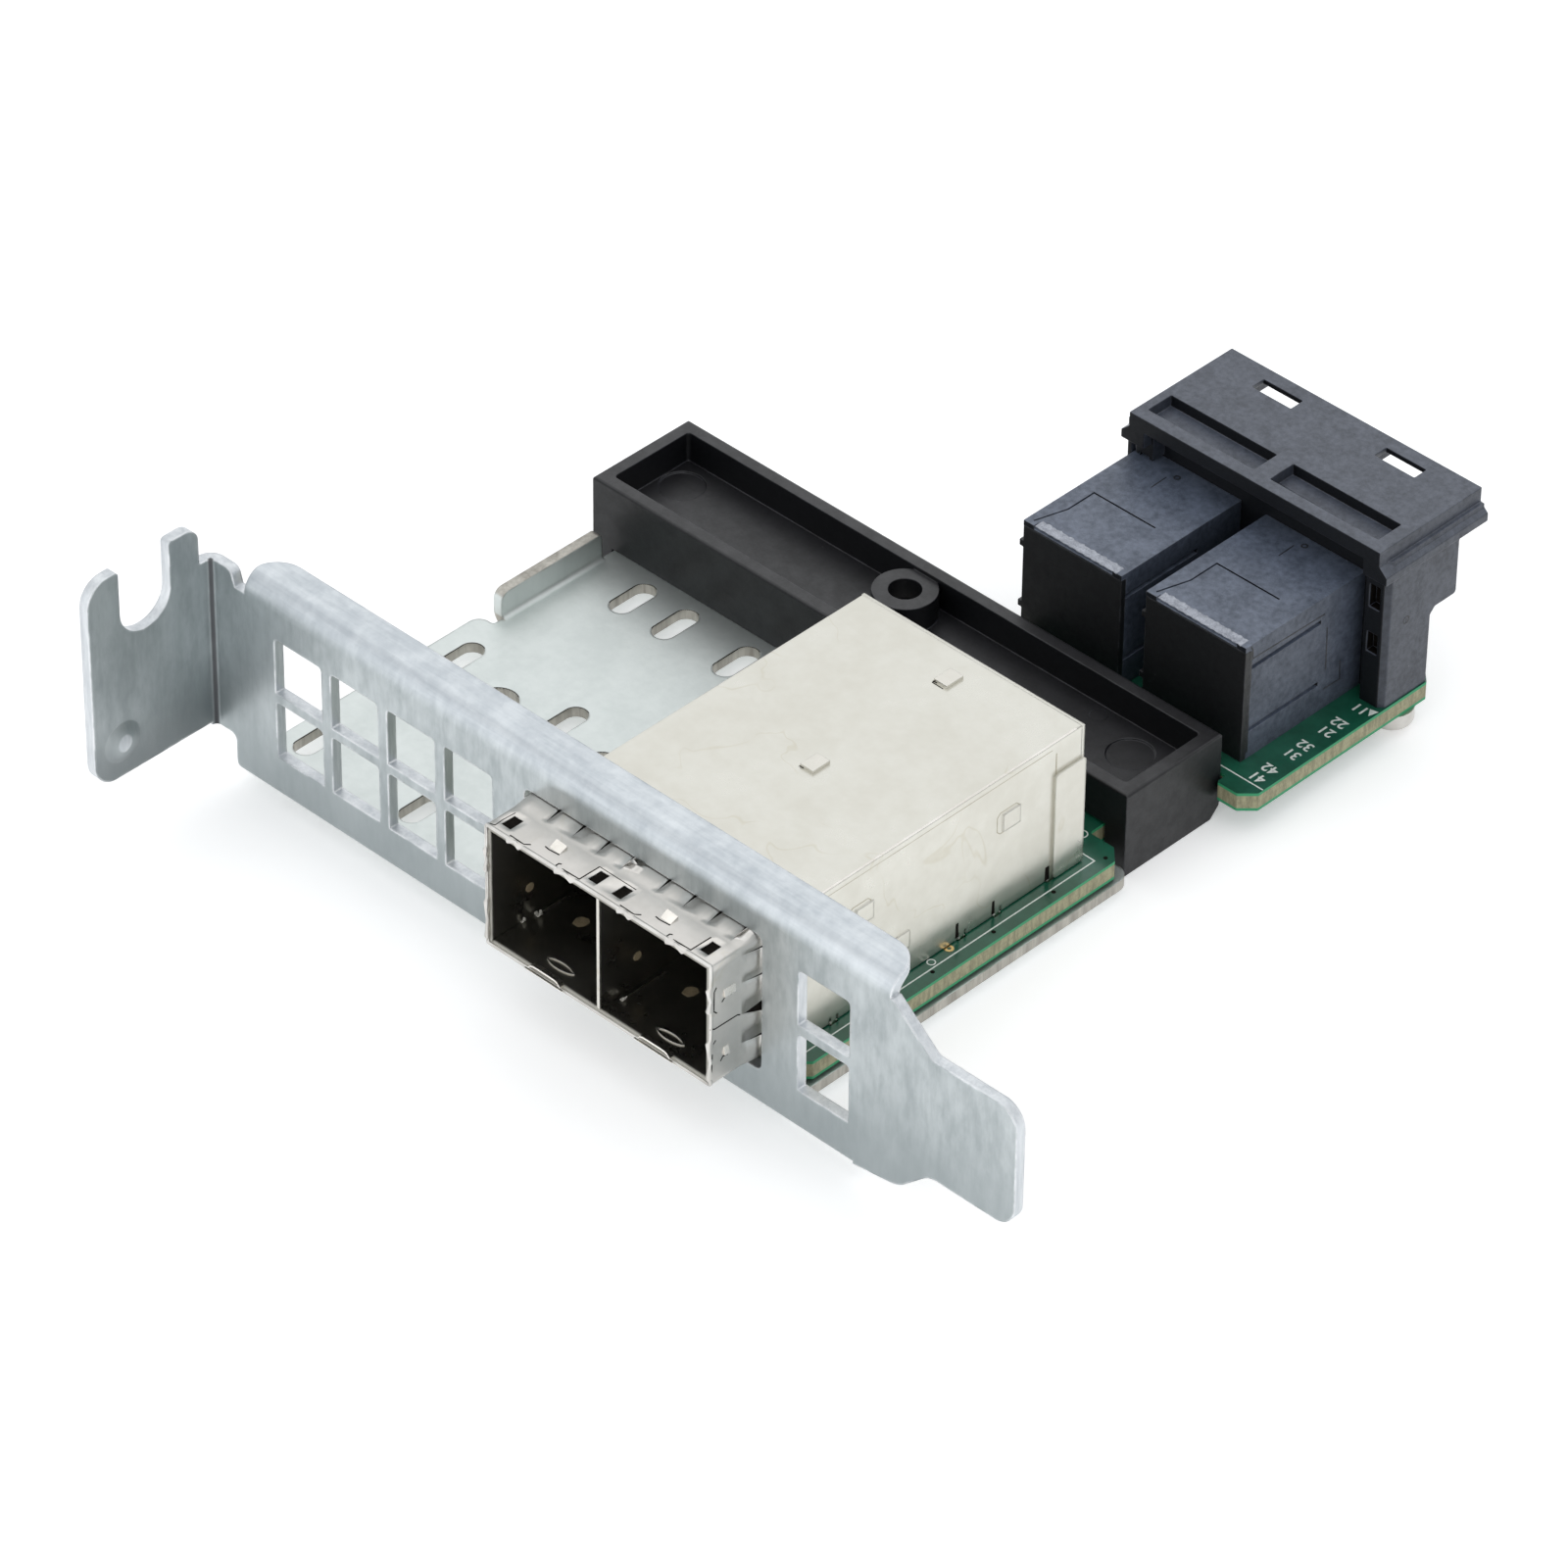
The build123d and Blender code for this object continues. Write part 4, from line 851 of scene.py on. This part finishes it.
def round_the_collar():
    """Columns all the way round: (x, z, outward, along, slit side, slit width, lip, window)."""
    around = []
    for x, side, width, lip, window in top_columns():
        around.append((x, COLLAR_TOP, Z_WAY, X_WAY, side, width, lip, window))
    for z, side, width, lip, _ in reversed(side_columns()):
        around.append((COLLAR_RIGHT, z, X_WAY, Z_WAY, side, width, lip, False))
    for x, side, width, _, _ in reversed(top_columns()):
        around.append((x, COLLAR_LOW, -Z_WAY, X_WAY, side, width, False, False))
    for z, side, width, lip, _ in side_columns():
        around.append((COLLAR_LEFT, z, -X_WAY, Z_WAY, side, width, lip, False))
    return around


def slit_half(width, y):
    """Half the width of a wedge slit, from its tip back."""
    return max(0.012, width * (y - SLIT_TIP) / -SLIT_TIP)


def collar_point(column, row):
    """One point of the collar's sheet; a row gives (y, outward) on the plain edge and on a lip."""
    x, z, outward, along, side, width, lip, _ = column
    y, out = row[1] if lip else row[0]
    shift = outward * out
    if side:
        shift += along * side * slit_half(width, y)
    return Vector((x, y, z)) + shift


def build_collar():
    """The sprung collar: a hemmed nose, four windows, and bowed fingers parted by wedge slits."""
    mesh = bmesh.new()
    rows = list(NOSE_ROWS)
    rows += [((y, 0.0), (y, 0.0)) for y in FLAT_ROWS]
    rows += [(row, row) for row in BOW_ROWS]
    columns = round_the_collar()
    grid = [[mesh.verts.new(place(*collar_point(column, row))) for column in columns] for row in rows]
    for r in range(len(rows) - 1):
        y = rows[r][0][0]
        for c, column in enumerate(columns):
            after = (c + 1) % len(columns)
            other = columns[after]
            in_slit = column[:2] == other[:2] and {column[4], other[4]} == {-1, 1}
            if in_slit and y >= SLIT_TIP or column[7] and y == WINDOW_FRONT:
                continue
            mesh.faces.new((grid[r][c], grid[r][after], grid[r + 1][after], grid[r + 1][c]))
    piece = add_piece("spring_collar", mesh, COLLAR_NICKEL, True)
    sheet = piece.modifiers.new("sheet", "SOLIDIFY")
    sheet.thickness = COLLAR_SHEET * MM
    sheet.offset = -1
    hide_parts("emi_collar")


def add_slit_shade(mesh, middle, outward, along, width):
    """Dark depth in one slit, just under the bowed fingers."""
    rows = []
    for y, out in BOW_ROWS[1:]:
        half = along * (slit_half(width, y) + 0.02)
        base = Vector((middle[0], y, middle[1]))
        high, low = outward * (out - 0.03), outward * (out - 0.13)
        rows.append([base - half + high, base + half + high, base + half + low, base - half + low])
    loft(mesh, rows)


def build_collar_shades(mesh):
    """Dark depth under the collar's four windows and in its slits."""
    for port in PORT_LEFTS:
        for middle in WINDOW_PLACES:
            left = port + middle - WINDOW_WIDTH / 2
            right = port + middle + WINDOW_WIDTH / 2
            front = [(left, WINDOW_FRONT), (right, WINDOW_FRONT)]
            back = [(right, WINDOW_BACK), (left, WINDOW_BACK)]
            add_plate(mesh, level_path(front + back, COLLAR_TOP - COLLAR_SHEET), (0, 0, 0.03))
    for port in PORT_LEFTS:
        for i in range(SLITS_PER_PORT):
            x = port + FINGER_START + i * FINGER_PITCH
            add_slit_shade(mesh, (x, COLLAR_TOP), Z_WAY, X_WAY, SLIT_WIDTH)
    for z, width in SIDE_SLITS:
        add_slit_shade(mesh, (COLLAR_RIGHT, z), X_WAY, Z_WAY, width)


def build_collar_cuts(mesh):
    """Cut lines of the collar's top and right side."""
    for port in PORT_LEFTS:
        for path in TOP_CUTS:
            near = [(port + x, y) for x, y in path]
            add_ribbon(mesh, level_path(near, COLLAR_TOP), CUT_WIDTH, Z_WAY)
    for path in FINE_CUTS:
        add_ribbon(mesh, level_path(path, COLLAR_TOP), FINE_CUT_WIDTH, Z_WAY)
    for path in SIDE_CUTS:
        add_ribbon(mesh, upright_path(path, COLLAR_RIGHT), CUT_WIDTH, X_WAY)


def add_hook(mesh, corners, outward, rises):
    """A punched hook: a small pad on a face that stands proud by a rise at each corner."""
    low = [Vector(corner) - outward * 0.03 for corner in corners]
    high = [Vector(corner) + outward * rise for corner, rise in zip(corners, rises)]
    loft(mesh, [low, high])


def build_collar_hooks(mesh):
    """The punched hooks on the collar's top and right side."""
    for port in PORT_LEFTS:
        corners = [(port + x, y) for x, y in TOP_HOOK]
        add_hook(mesh, level_path(corners, COLLAR_TOP), Z_WAY, TOP_HOOK_RISES)
    for y0, y1, z0, z1 in SIDE_HOOKS:
        corners = [(y0, z0), (y1, z0), (y1, z1), (y0, z1)]
        add_hook(mesh, upright_path(corners, COLLAR_RIGHT), X_WAY, SIDE_HOOK_RISES)


# Inside of the ports

FLOOR_LEFT, FLOOR_RIGHT = 33.62, 54.48
FLOOR_FRONT, FLOOR_BACK = -4.3, 17.0
FLOOR_LOW, FLOOR_TOP = 4.7, 4.95
LIP_START, LIP_END = 4.1, 7.25
# The lip's ends: how far in from each end, and how high there
LIP_STEPS = ((0.0, 0.0), (0.25, 0.26), (0.5, 0.36), (1.0, 0.38))
ALMOND_MIDDLE = (5.65, -2.93)
ALMOND_LENGTH, ALMOND_WIDTH = 2.55, 0.7
ALMOND_POINTS = 24
# Spring tips: where each starts, and its radius
TIP_CURLS = (((33.95, -0.2, 5.0), 0.6), ((33.62, -1.4, 4.97), 0.42), ((44.62, -2.5, 5.0), 0.3))
TIP_START, TIP_SWEEP, TIP_STEPS = -60, 190, 10
TIP_SHEET = 0.09
# By port: the rail's ends in y, and how far the wall glint lies from the port's left edge
RAIL_SPANS = ((-0.1, 2.9), (-2.3, 1.8))
WALL_INSETS = (0.27, 0.14)
FLOOR_GLINT = ((2.9, 0.9), (3.5, 0.9), (3.75, 1.3), (3.75, 1.8), (3.4, 2.05), (2.9, 1.9), (2.7, 1.5))


def build_cage_floor():
    """The cage's floor plate, one thin sheet with a folded front edge."""
    mesh = bmesh.new()
    rows = []
    for x in (FLOOR_LEFT, FLOOR_RIGHT):
        profile = [(FLOOR_FRONT, FLOOR_LOW), (FLOOR_BACK, FLOOR_LOW), (FLOOR_BACK, FLOOR_TOP)]
        profile += [(FLOOR_FRONT + 0.1, FLOOR_TOP), (FLOOR_FRONT, FLOOR_TOP - 0.07)]
        rows.append([(x, y, z) for y, z in profile])
    loft(mesh, rows)
    piece = add_piece("cage_floor_plate", mesh, CAGE_NICKEL)
    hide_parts("cage_floor")


def add_front_lip(mesh, port):
    """The bridged lip at a port's front edge, and the bright line in front of it."""
    rises = [(LIP_START + a, rise) for a, rise in LIP_STEPS]
    rises += [(LIP_END - a, rise) for a, rise in reversed(LIP_STEPS)]
    rows = []
    for x, rise in rises:
        z = FLOOR_TOP - 0.06 + rise
        section = [(-4.66, z), (-4.2, z), (-4.2, z + 0.1), (-4.62, z + 0.1)]
        rows.append(upright_path(section, port + x))
    loft(mesh, rows)
    edge = [(port + LIP_START - 0.3, -4.6), (port + LIP_END + 0.2, -4.6)]
    add_ribbon(mesh, level_path(edge, FLOOR_LOW + 0.05), 0.16, Z_WAY, 0.05)


def add_almond(mesh, port):
    """The almond-shaped louvre in a port's floor."""
    ring = []
    for i in range(ALMOND_POINTS):
        turn = 2 * math.pi * i / ALMOND_POINTS
        x = port + ALMOND_MIDDLE[0] + ALMOND_LENGTH / 2 * math.cos(turn)
        y = ALMOND_MIDDLE[1] + ALMOND_WIDTH / 2 * math.sin(turn) * abs(math.sin(turn)) ** 0.4
        ring.append((x, y, FLOOR_TOP))
    add_ribbon(mesh, ring, 0.13, Z_WAY, 0.09, ring=True)


def build_louvres(mesh):
    """A bridged lip at each port's front edge and an almond-shaped louvre behind it."""
    for port in PORT_LEFTS:
        add_front_lip(mesh, port)
        add_almond(mesh, port)


def build_spring_tips(mesh):
    """The bent tips of three springs in the ports, in a bright tone that paints their glint."""
    for (x, y, z), radius in TIP_CURLS:
        rows = []
        for i in range(TIP_STEPS + 1):
            turn = math.radians(TIP_START + TIP_SWEEP * i / TIP_STEPS)
            left = x + radius * 0.45 * math.sin(turn)
            right = left + TIP_SHEET
            up = z + radius * (1 - math.cos(turn)) * 0.6
            half = 0.12 * math.cos(turn * 0.6) + 0.04
            edge = [(left, y - half, up), (left, y + half, up)]
            rows.append(edge + [(right, y + half, up), (right, y - half, up)])
        loft(mesh, rows)


def build_floor_rails(mesh):
    """The rail at the left edge of each port's floor."""
    for port, (start, end) in zip(PORT_LEFTS, RAIL_SPANS):
        rows = []
        for y in (start, start + 0.2, end - 0.2, end):
            rise = 0.02 if y in (start, end) else 0.16
            section = ((0.5, 0), (0.56, rise), (0.62, rise), (0.68, 0))
            rows.append([(port + x, y, FLOOR_TOP + z) for x, z in section])
        loft(mesh, rows)


def build_contact_glints(mesh):
    """Painted glints of brass on each port's left wall and floor, as dull plates."""
    for port, inset in zip(PORT_LEFTS, WALL_INSETS):
        add_plate(mesh, circle((port + inset, -0.6, 7.55), 0.38, Y_WAY, Z_WAY, 14), (0.02, 0, 0))
        corners = [(port + x, y) for x, y in FLOOR_GLINT]
        add_plate(mesh, level_path(corners, FLOOR_TOP), (0, 0, 0.02))


# Cage body

CAGE_SIDE = 54.75
CAGE_TOP = 14.95
SIDE_NOTCHES = ((20.22, 20.56, 3.0, 4.3), (23.92, 24.24, 3.0, 4.15), (29.4, 29.88, 2.85, 4.05))
FOLD_LINE = 14.42
TAB_STARTS = (15.85, 29.05)
PADS = ((24.25, 26.5, 9.95, 11.8), (9.4, 11.55, 10.6, 11.9))
PAD_CORNER = 0.3
LOW_PAD = [(13.0, 6.7), (13.3, 3.8), (15.3, 3.7), (15.0, 6.5)]
FLAP_START = 30.22


def build_cage_edge_highlight(mesh):
    """A painted highlight along the right edge of the cage's top."""
    x = CAGE_SIDE - 0.1
    add_ribbon(mesh, level_path([(x, 1.0), (x, 32.3)], CAGE_TOP), 0.16, Z_WAY, 0.02)


def build_cage_notch_shades(mesh):
    """Painted shade in the notches at the cage's foot, in the slot by each divider tab, and in a louvre's
    dark mouth.
    """
    for y0, y1, z0, z1 in SIDE_NOTCHES:
        corners = [(y0, z0), (y1, z0), (y1 - 0.05, z1), (y0 + 0.05, z1)]
        add_plate(mesh, upright_path(corners, CAGE_SIDE), (0.014, 0, 0))
    for y in TAB_STARTS:
        add_ribbon(mesh, level_path([(43.95, y - 0.1), (43.95, y + 1.2)], CAGE_TOP), 0.09, Z_WAY)
        add_ribbon(mesh, level_path([(43.93, y - 0.08), (45.0, y - 0.1)], CAGE_TOP), 0.07, Z_WAY)
    add_ribbon(mesh, upright_path([(13.0, 6.75), (15.1, 6.55)], CAGE_SIDE), 0.06, X_WAY)


def pad_outline(y0, y1, z0, z1):
    """A rectangle with cut corners, as (y, z)."""
    near, far = y0 + PAD_CORNER, y1 - PAD_CORNER
    low, high = z0 + PAD_CORNER, z1 - PAD_CORNER
    return [(y0, low), (near, z0), (far, z0), (y1, low), (y1, high), (far, z1), (near, z1), (y0, high)]


def build_cage_outlines(mesh):
    """Faint outlines on the cage's side: painted shade along the fold and round the pressed pads, and a
    brown line at the rear cover's flap.
    """
    add_ribbon(mesh, upright_path([(1.0, FOLD_LINE), (29.8, FOLD_LINE)], CAGE_SIDE), 0.05, X_WAY, 0.006)
    for path in [pad_outline(*limits) for limits in PADS] + [LOW_PAD]:
        add_ribbon(mesh, upright_path(path, CAGE_SIDE), 0.07, X_WAY, 0.01, ring=True)
    add_ribbon(mesh, upright_path([(FLAP_START, 3.6), (FLAP_START, 13.9)], CAGE_SIDE), 0.09, X_WAY, 0.02)


# Print and plated marks on the board

BOARD_TOP = 2.71
PRINT_WIDTH = 0.11
PRINT_LINES = (((55.6, 4.2), (55.6, 33.7), (54.4, 33.72)), ((33.7, 48.1), (58.7, 48.1)))
# Printed rings: x, y, radius, line width, points
PRINT_RINGS = ((55.09, 17.45, 0.3, 0.09, 20), (54.52, 16.16, 0.1, 0.06, 10), (52.9, 35.3, 0.42, 0.1, 20))
PIN_MARK = ((58.42, 59.85), (58.66, 60.72), (57.98, 60.55))
VIA_PLACES = ((55.88, 16.75), (55.91, 22.93), (55.9, 29.13), (55.93, 34.5))
NUMBER_ROWS = (
    (48.95, "41"),
    (50.3, "42"),
    (52.7, "31"),
    (54.1, "32"),
    (56.4, "21"),
    (57.8, "22"),
    (60.1, "11"),
)
NUMBER_X = 57.45
NUMBER_SIZE = 1.3


def build_board_print(mesh):
    """White lines, rings and the pin mark printed on the board."""
    for path in PRINT_LINES:
        add_ribbon(mesh, level_path(path, BOARD_TOP), PRINT_WIDTH, Z_WAY)
    for x, y, radius, width, count in PRINT_RINGS:
        ring = circle((x, y, BOARD_TOP), radius, X_WAY, Y_WAY, count)
        add_ribbon(mesh, ring, width, Z_WAY, ring=True)
    add_plate(mesh, level_path(PIN_MARK, BOARD_TOP), (0, 0, 0.012))


def build_board_numbers():
    """Plain numbers beside the rows of the right block's pins."""
    for y, figures in NUMBER_ROWS:
        text = bpy.data.curves.new("pin_numbers_" + figures, "FONT")
        text.body = figures
        text.size = NUMBER_SIZE * MM
        text.extrude = 0.008 * MM
        text.offset = 0.02 * MM
        text.align_x = "CENTER"
        text.align_y = "CENTER"
        text.materials.append(PRINT_WHITE)
        piece = add_object("pin_numbers_" + figures, text)
        piece.location = place(NUMBER_X, y, BOARD_TOP)
        piece.rotation_euler.z = math.pi
        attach(piece, "root")


def build_gold_pad(mesh):
    """The gold pad beside the cage."""
    ring = circle((54.95, 19.4, BOARD_TOP), 0.26, X_WAY, Y_WAY, 16)
    add_ribbon(mesh, ring, 0.2, Z_WAY, 0.03, ring=True)


def build_board_vias(mesh):
    """The dark vias along the board's edge."""
    for x, y in VIA_PLACES:
        add_plate(mesh, circle((x, y, BOARD_TOP), 0.17, X_WAY, Y_WAY, 14), (0, 0, 0.01))


# Mouldings

BLOCK_TOP = 13.04
BLOCK_SIDE = 55.45
MOULD_LINES = ((37.75, 58.7), (49.8, 59.1))
# Lines on the right block's side, and the painted shade in the gap behind its front plate: (y, z)
BLOCK_SIDE_LINES = (
    ((49.85, 12.95), (50.05, 12.5), (50.12, 11.72), (57.85, 11.5)),
    ((58.2, 10.1), (58.3, 6.2)),
    ((59.85, 6.2), (59.95, 4.45), (58.15, 4.5)),
)
PLATE_GAP_SHADE = ((49.86, 12.5), (49.9, 10.2), (49.84, 7.0), (49.9, 3.3))
BEVEL_STARTS = (34.95, 46.95)
BEVEL_LENGTH, BEVEL_STEPS = 8.0, 40
BEVEL_FRONT, BEVEL_BACK = 49.3, 50.15
EAR_WINDOW_LEFTS = (34.5, 56.9)
EAR_WINDOW_WIDTH = 1.0
EAR_WINDOW_HEIGHTS = ((7.31, 9.11), (11.31, 13.41))
EAR_LIP, EAR_BACK = 61.1, 61.75
BAR_FLOOR = 3.96
SHROUD_SIDE = 58.65


def build_block_marks(mesh):
    """Mould lines on the blocks' tops and on the right block's side, and painted shade in the gap behind
    its front plate.
    """
    for x, y in MOULD_LINES:
        add_ribbon(mesh, level_path([(x, y), (x - 0.05, y + 1.7)], BLOCK_TOP), 0.09, Z_WAY)
        ring = circle((x + 0.55, y + 2.2, BLOCK_TOP), 0.22, X_WAY, Y_WAY, 10)
        add_ribbon(mesh, ring, 0.13, Z_WAY, ring=True)
    for path in BLOCK_SIDE_LINES:
        add_ribbon(mesh, upright_path(path, BLOCK_SIDE), 0.12, X_WAY)
    # Painted shade in the gap behind the front plate
    add_ribbon(mesh, upright_path(PLATE_GAP_SHADE, BLOCK_SIDE), 0.26, X_WAY)


def build_block_bevel_highlights(mesh):
    """A painted highlight on the chamfer at the front of each block's top: a pale, rough, uneven strip."""
    high, low = BLOCK_TOP + 0.014, BLOCK_TOP - 0.05
    for start in BEVEL_STARTS:
        rows = []
        for i in range(BEVEL_STEPS + 1):
            x = start + BEVEL_LENGTH * i / BEVEL_STEPS
            back = BEVEL_BACK + 0.05 * math.sin(i * 2.3) + 0.04 * math.sin(i * 5.1)
            front = BEVEL_FRONT + 0.03 * math.sin(i * 1.7)
            rows.append([(x, front, low), (x, front, high - 0.01), (x, back, high), (x, back, low)])
        loft(mesh, rows)


def build_ear_shades(mesh):
    """Dark bottoms and walls of the small windows in the shroud's two ears."""
    lip, back = EAR_LIP, EAR_BACK
    for left in EAR_WINDOW_LEFTS:
        right = left + EAR_WINDOW_WIDTH
        for low, high in EAR_WINDOW_HEIGHTS:
            bottom = [(left, back, low), (right, back, low), (right, back, high), (left, back, high)]
            wall = [(lip, low), (back, low), (back, high), (lip, high)]
            sill = [(left, lip), (right, lip), (right, back), (left, back)]
            add_plate(mesh, bottom, (0, -0.012, 0))
            add_plate(mesh, upright_path(wall, left), (0.012, 0, 0))
            add_plate(mesh, level_path(sill, low), (0, 0, 0.012))


def build_moulding_marks(mesh):
    """The bar's small ejector ring and the gate mark on the shroud's side."""
    ring = circle((45.55, 45.0, BAR_FLOOR), 0.68, X_WAY, Y_WAY)
    add_ribbon(mesh, ring, 0.08, Z_WAY, ring=True)
    gate = circle((SHROUD_SIDE, 63.2, 9.8), 0.3, Y_WAY, Z_WAY, 16)
    add_ribbon(mesh, gate, 0.1, X_WAY, ring=True)
    add_ribbon(mesh, upright_path([(63.2, 9.9), (63.25, 9.5)], SHROUD_SIDE), 0.1, X_WAY)


# Trim: the name of each piece, what builds it, its finish and its slot
TRIM = (
    ("tray_rim_shades", build_tray_rim_shades, SEAM_AND_SHADE_DARK, "zinc_steel"),
    ("collar_shades", build_collar_shades, SEAM_AND_SHADE_DARK, "black_plastic"),
    ("collar_cut_lines", build_collar_cuts, SEAM_AND_SHADE_DARK, "black_plastic"),
    ("collar_hooks", build_collar_hooks, LOUVRE_NICKEL, "cage_metal"),
    ("floor_louvres", build_louvres, LOUVRE_NICKEL, "cage_metal"),
    ("spring_tips", build_spring_tips, TIP_GLINT, "cage_metal"),
    ("floor_rails", build_floor_rails, LOUVRE_NICKEL, "cage_metal"),
    ("contact_glints", build_contact_glints, BRASS_GLINT, "contacts"),
    ("cage_edge_highlight", build_cage_edge_highlight, LOUVRE_NICKEL, "cage_metal"),
    ("cage_notch_shades", build_cage_notch_shades, SEAM_AND_SHADE_DARK, "black_plastic"),
    ("cage_outlines", build_cage_outlines, FOLD_SHADE, "cage_metal"),
    ("board_print", build_board_print, PRINT_WHITE, "board"),
    ("gold_pad", build_gold_pad, GOLD, "contacts"),
    ("board_vias", build_board_vias, SEAM_AND_SHADE_DARK, "black_plastic"),
    ("block_mould_lines", build_block_marks, FRONT_BLACK, "black_plastic"),
    ("block_bevel_highlights", build_block_bevel_highlights, BEVEL_HIGHLIGHT, "black_plastic"),
    ("ear_shades", build_ear_shades, SEAM_AND_SHADE_DARK, "black_plastic"),
    ("mould_marks", build_moulding_marks, FRONT_BLACK, "black_plastic"),
)

build_collar()
build_cage_floor()
build_board_numbers()
for trim_name, build_trim, finish, slot in TRIM:
    trim_mesh = bmesh.new()
    build_trim(trim_mesh)
    add_piece(trim_name, trim_mesh, finish)


# Studio

# Half the floor's width in metres, and how far it lies under the card in millimetres
FLOOR_HALF = 3.0
FLOOR_DROP = 0.02
WORLD_TINT = (0.97, 0.985, 1.0, 1.0)
WORLD_STRENGTH = 0.95
# Softboxes: the way to each, its distance and size in metres, its power, and its tint
SOFTBOXES = (
    ("overhead_softbox", (-0.25, 0.1, 1.0), 1.3, 1.2, 1.2, (1.0, 0.99, 0.97)),
    ("rear_softbox", (-0.54, 0.563, 0.626), 1.2, 1.5, 0.8, (1.0, 0.995, 0.98)),
    ("right_softbox", (1.0, 0.3, 0.5), 1.4, 0.8, 0.3, (1.0, 0.98, 0.95)),
    ("front_softbox", (-0.45, -1.0, 0.35), 1.4, 0.9, 0.9, (0.97, 0.985, 1.0)),
)


def add_floor():
    """The pale floor under the card."""
    mesh = bpy.data.meshes.new("studio_floor")
    half = FLOOR_HALF
    corners = [(-half, -half, 0), (half, -half, 0), (half, half, 0), (-half, half, 0)]
    mesh.from_pydata(corners, [], [(0, 1, 2, 3)])
    mesh.materials.append(studio_floor())
    floor = add_object("studio_floor", mesh)
    floor.location.z = -FLOOR_DROP * MM


def add_softbox(name, direction, distance, size, power, colour):
    """A square area light that points at the card."""
    light = bpy.data.lights.new(name, "AREA")
    light.shape = "SQUARE"
    light.size = size
    light.energy = power
    light.color = colour
    lamp = add_object(name, light)
    towards = Vector(direction).normalized()
    lamp.location = towards * distance
    lamp.rotation_euler = towards.to_track_quat("Z", "Y").to_euler()


def add_world():
    """Even light from all round."""
    world = bpy.data.worlds.new("studio")
    world.use_nodes = True
    background = world.node_tree.nodes["Background"]
    background.inputs["Color"].default_value = WORLD_TINT
    background.inputs["Strength"].default_value = WORLD_STRENGTH
    bpy.context.scene.world = world


def add_camera():
    """The camera where the photograph was taken from."""
    turn = math.radians(CAMERA_TURN)
    height = math.radians(CAMERA_HEIGHT)
    roll = math.radians(CAMERA_ROLL)
    away = math.cos(height)
    back = Vector((math.sin(turn) * away, -math.cos(turn) * away, math.sin(height)))
    right = Vector((math.cos(turn), math.sin(turn), 0))
    up = back.cross(right)
    rolled_right = right * math.cos(roll) + up * math.sin(roll)
    rolled_up = up * math.cos(roll) - right * math.sin(roll)
    data = bpy.data.cameras.new("photo_camera")
    data.sensor_width = CAMERA_SENSOR
    data.lens = CAMERA_LENS
    data.clip_start = 0.05
    data.clip_end = 20.0
    camera = add_object("photo_camera", data)
    turned = Matrix((rolled_right, rolled_up, back)).transposed().to_4x4()
    spot = place(*CAMERA_TARGET) + back * CAMERA_DISTANCE * MM
    camera.matrix_world = Matrix.Translation(spot) @ turned
    bpy.context.scene.camera = camera


add_floor()
add_world()
for softbox in SOFTBOXES:
    add_softbox(*softbox)
add_camera()
bpy.context.scene.view_settings.view_transform = "Standard"
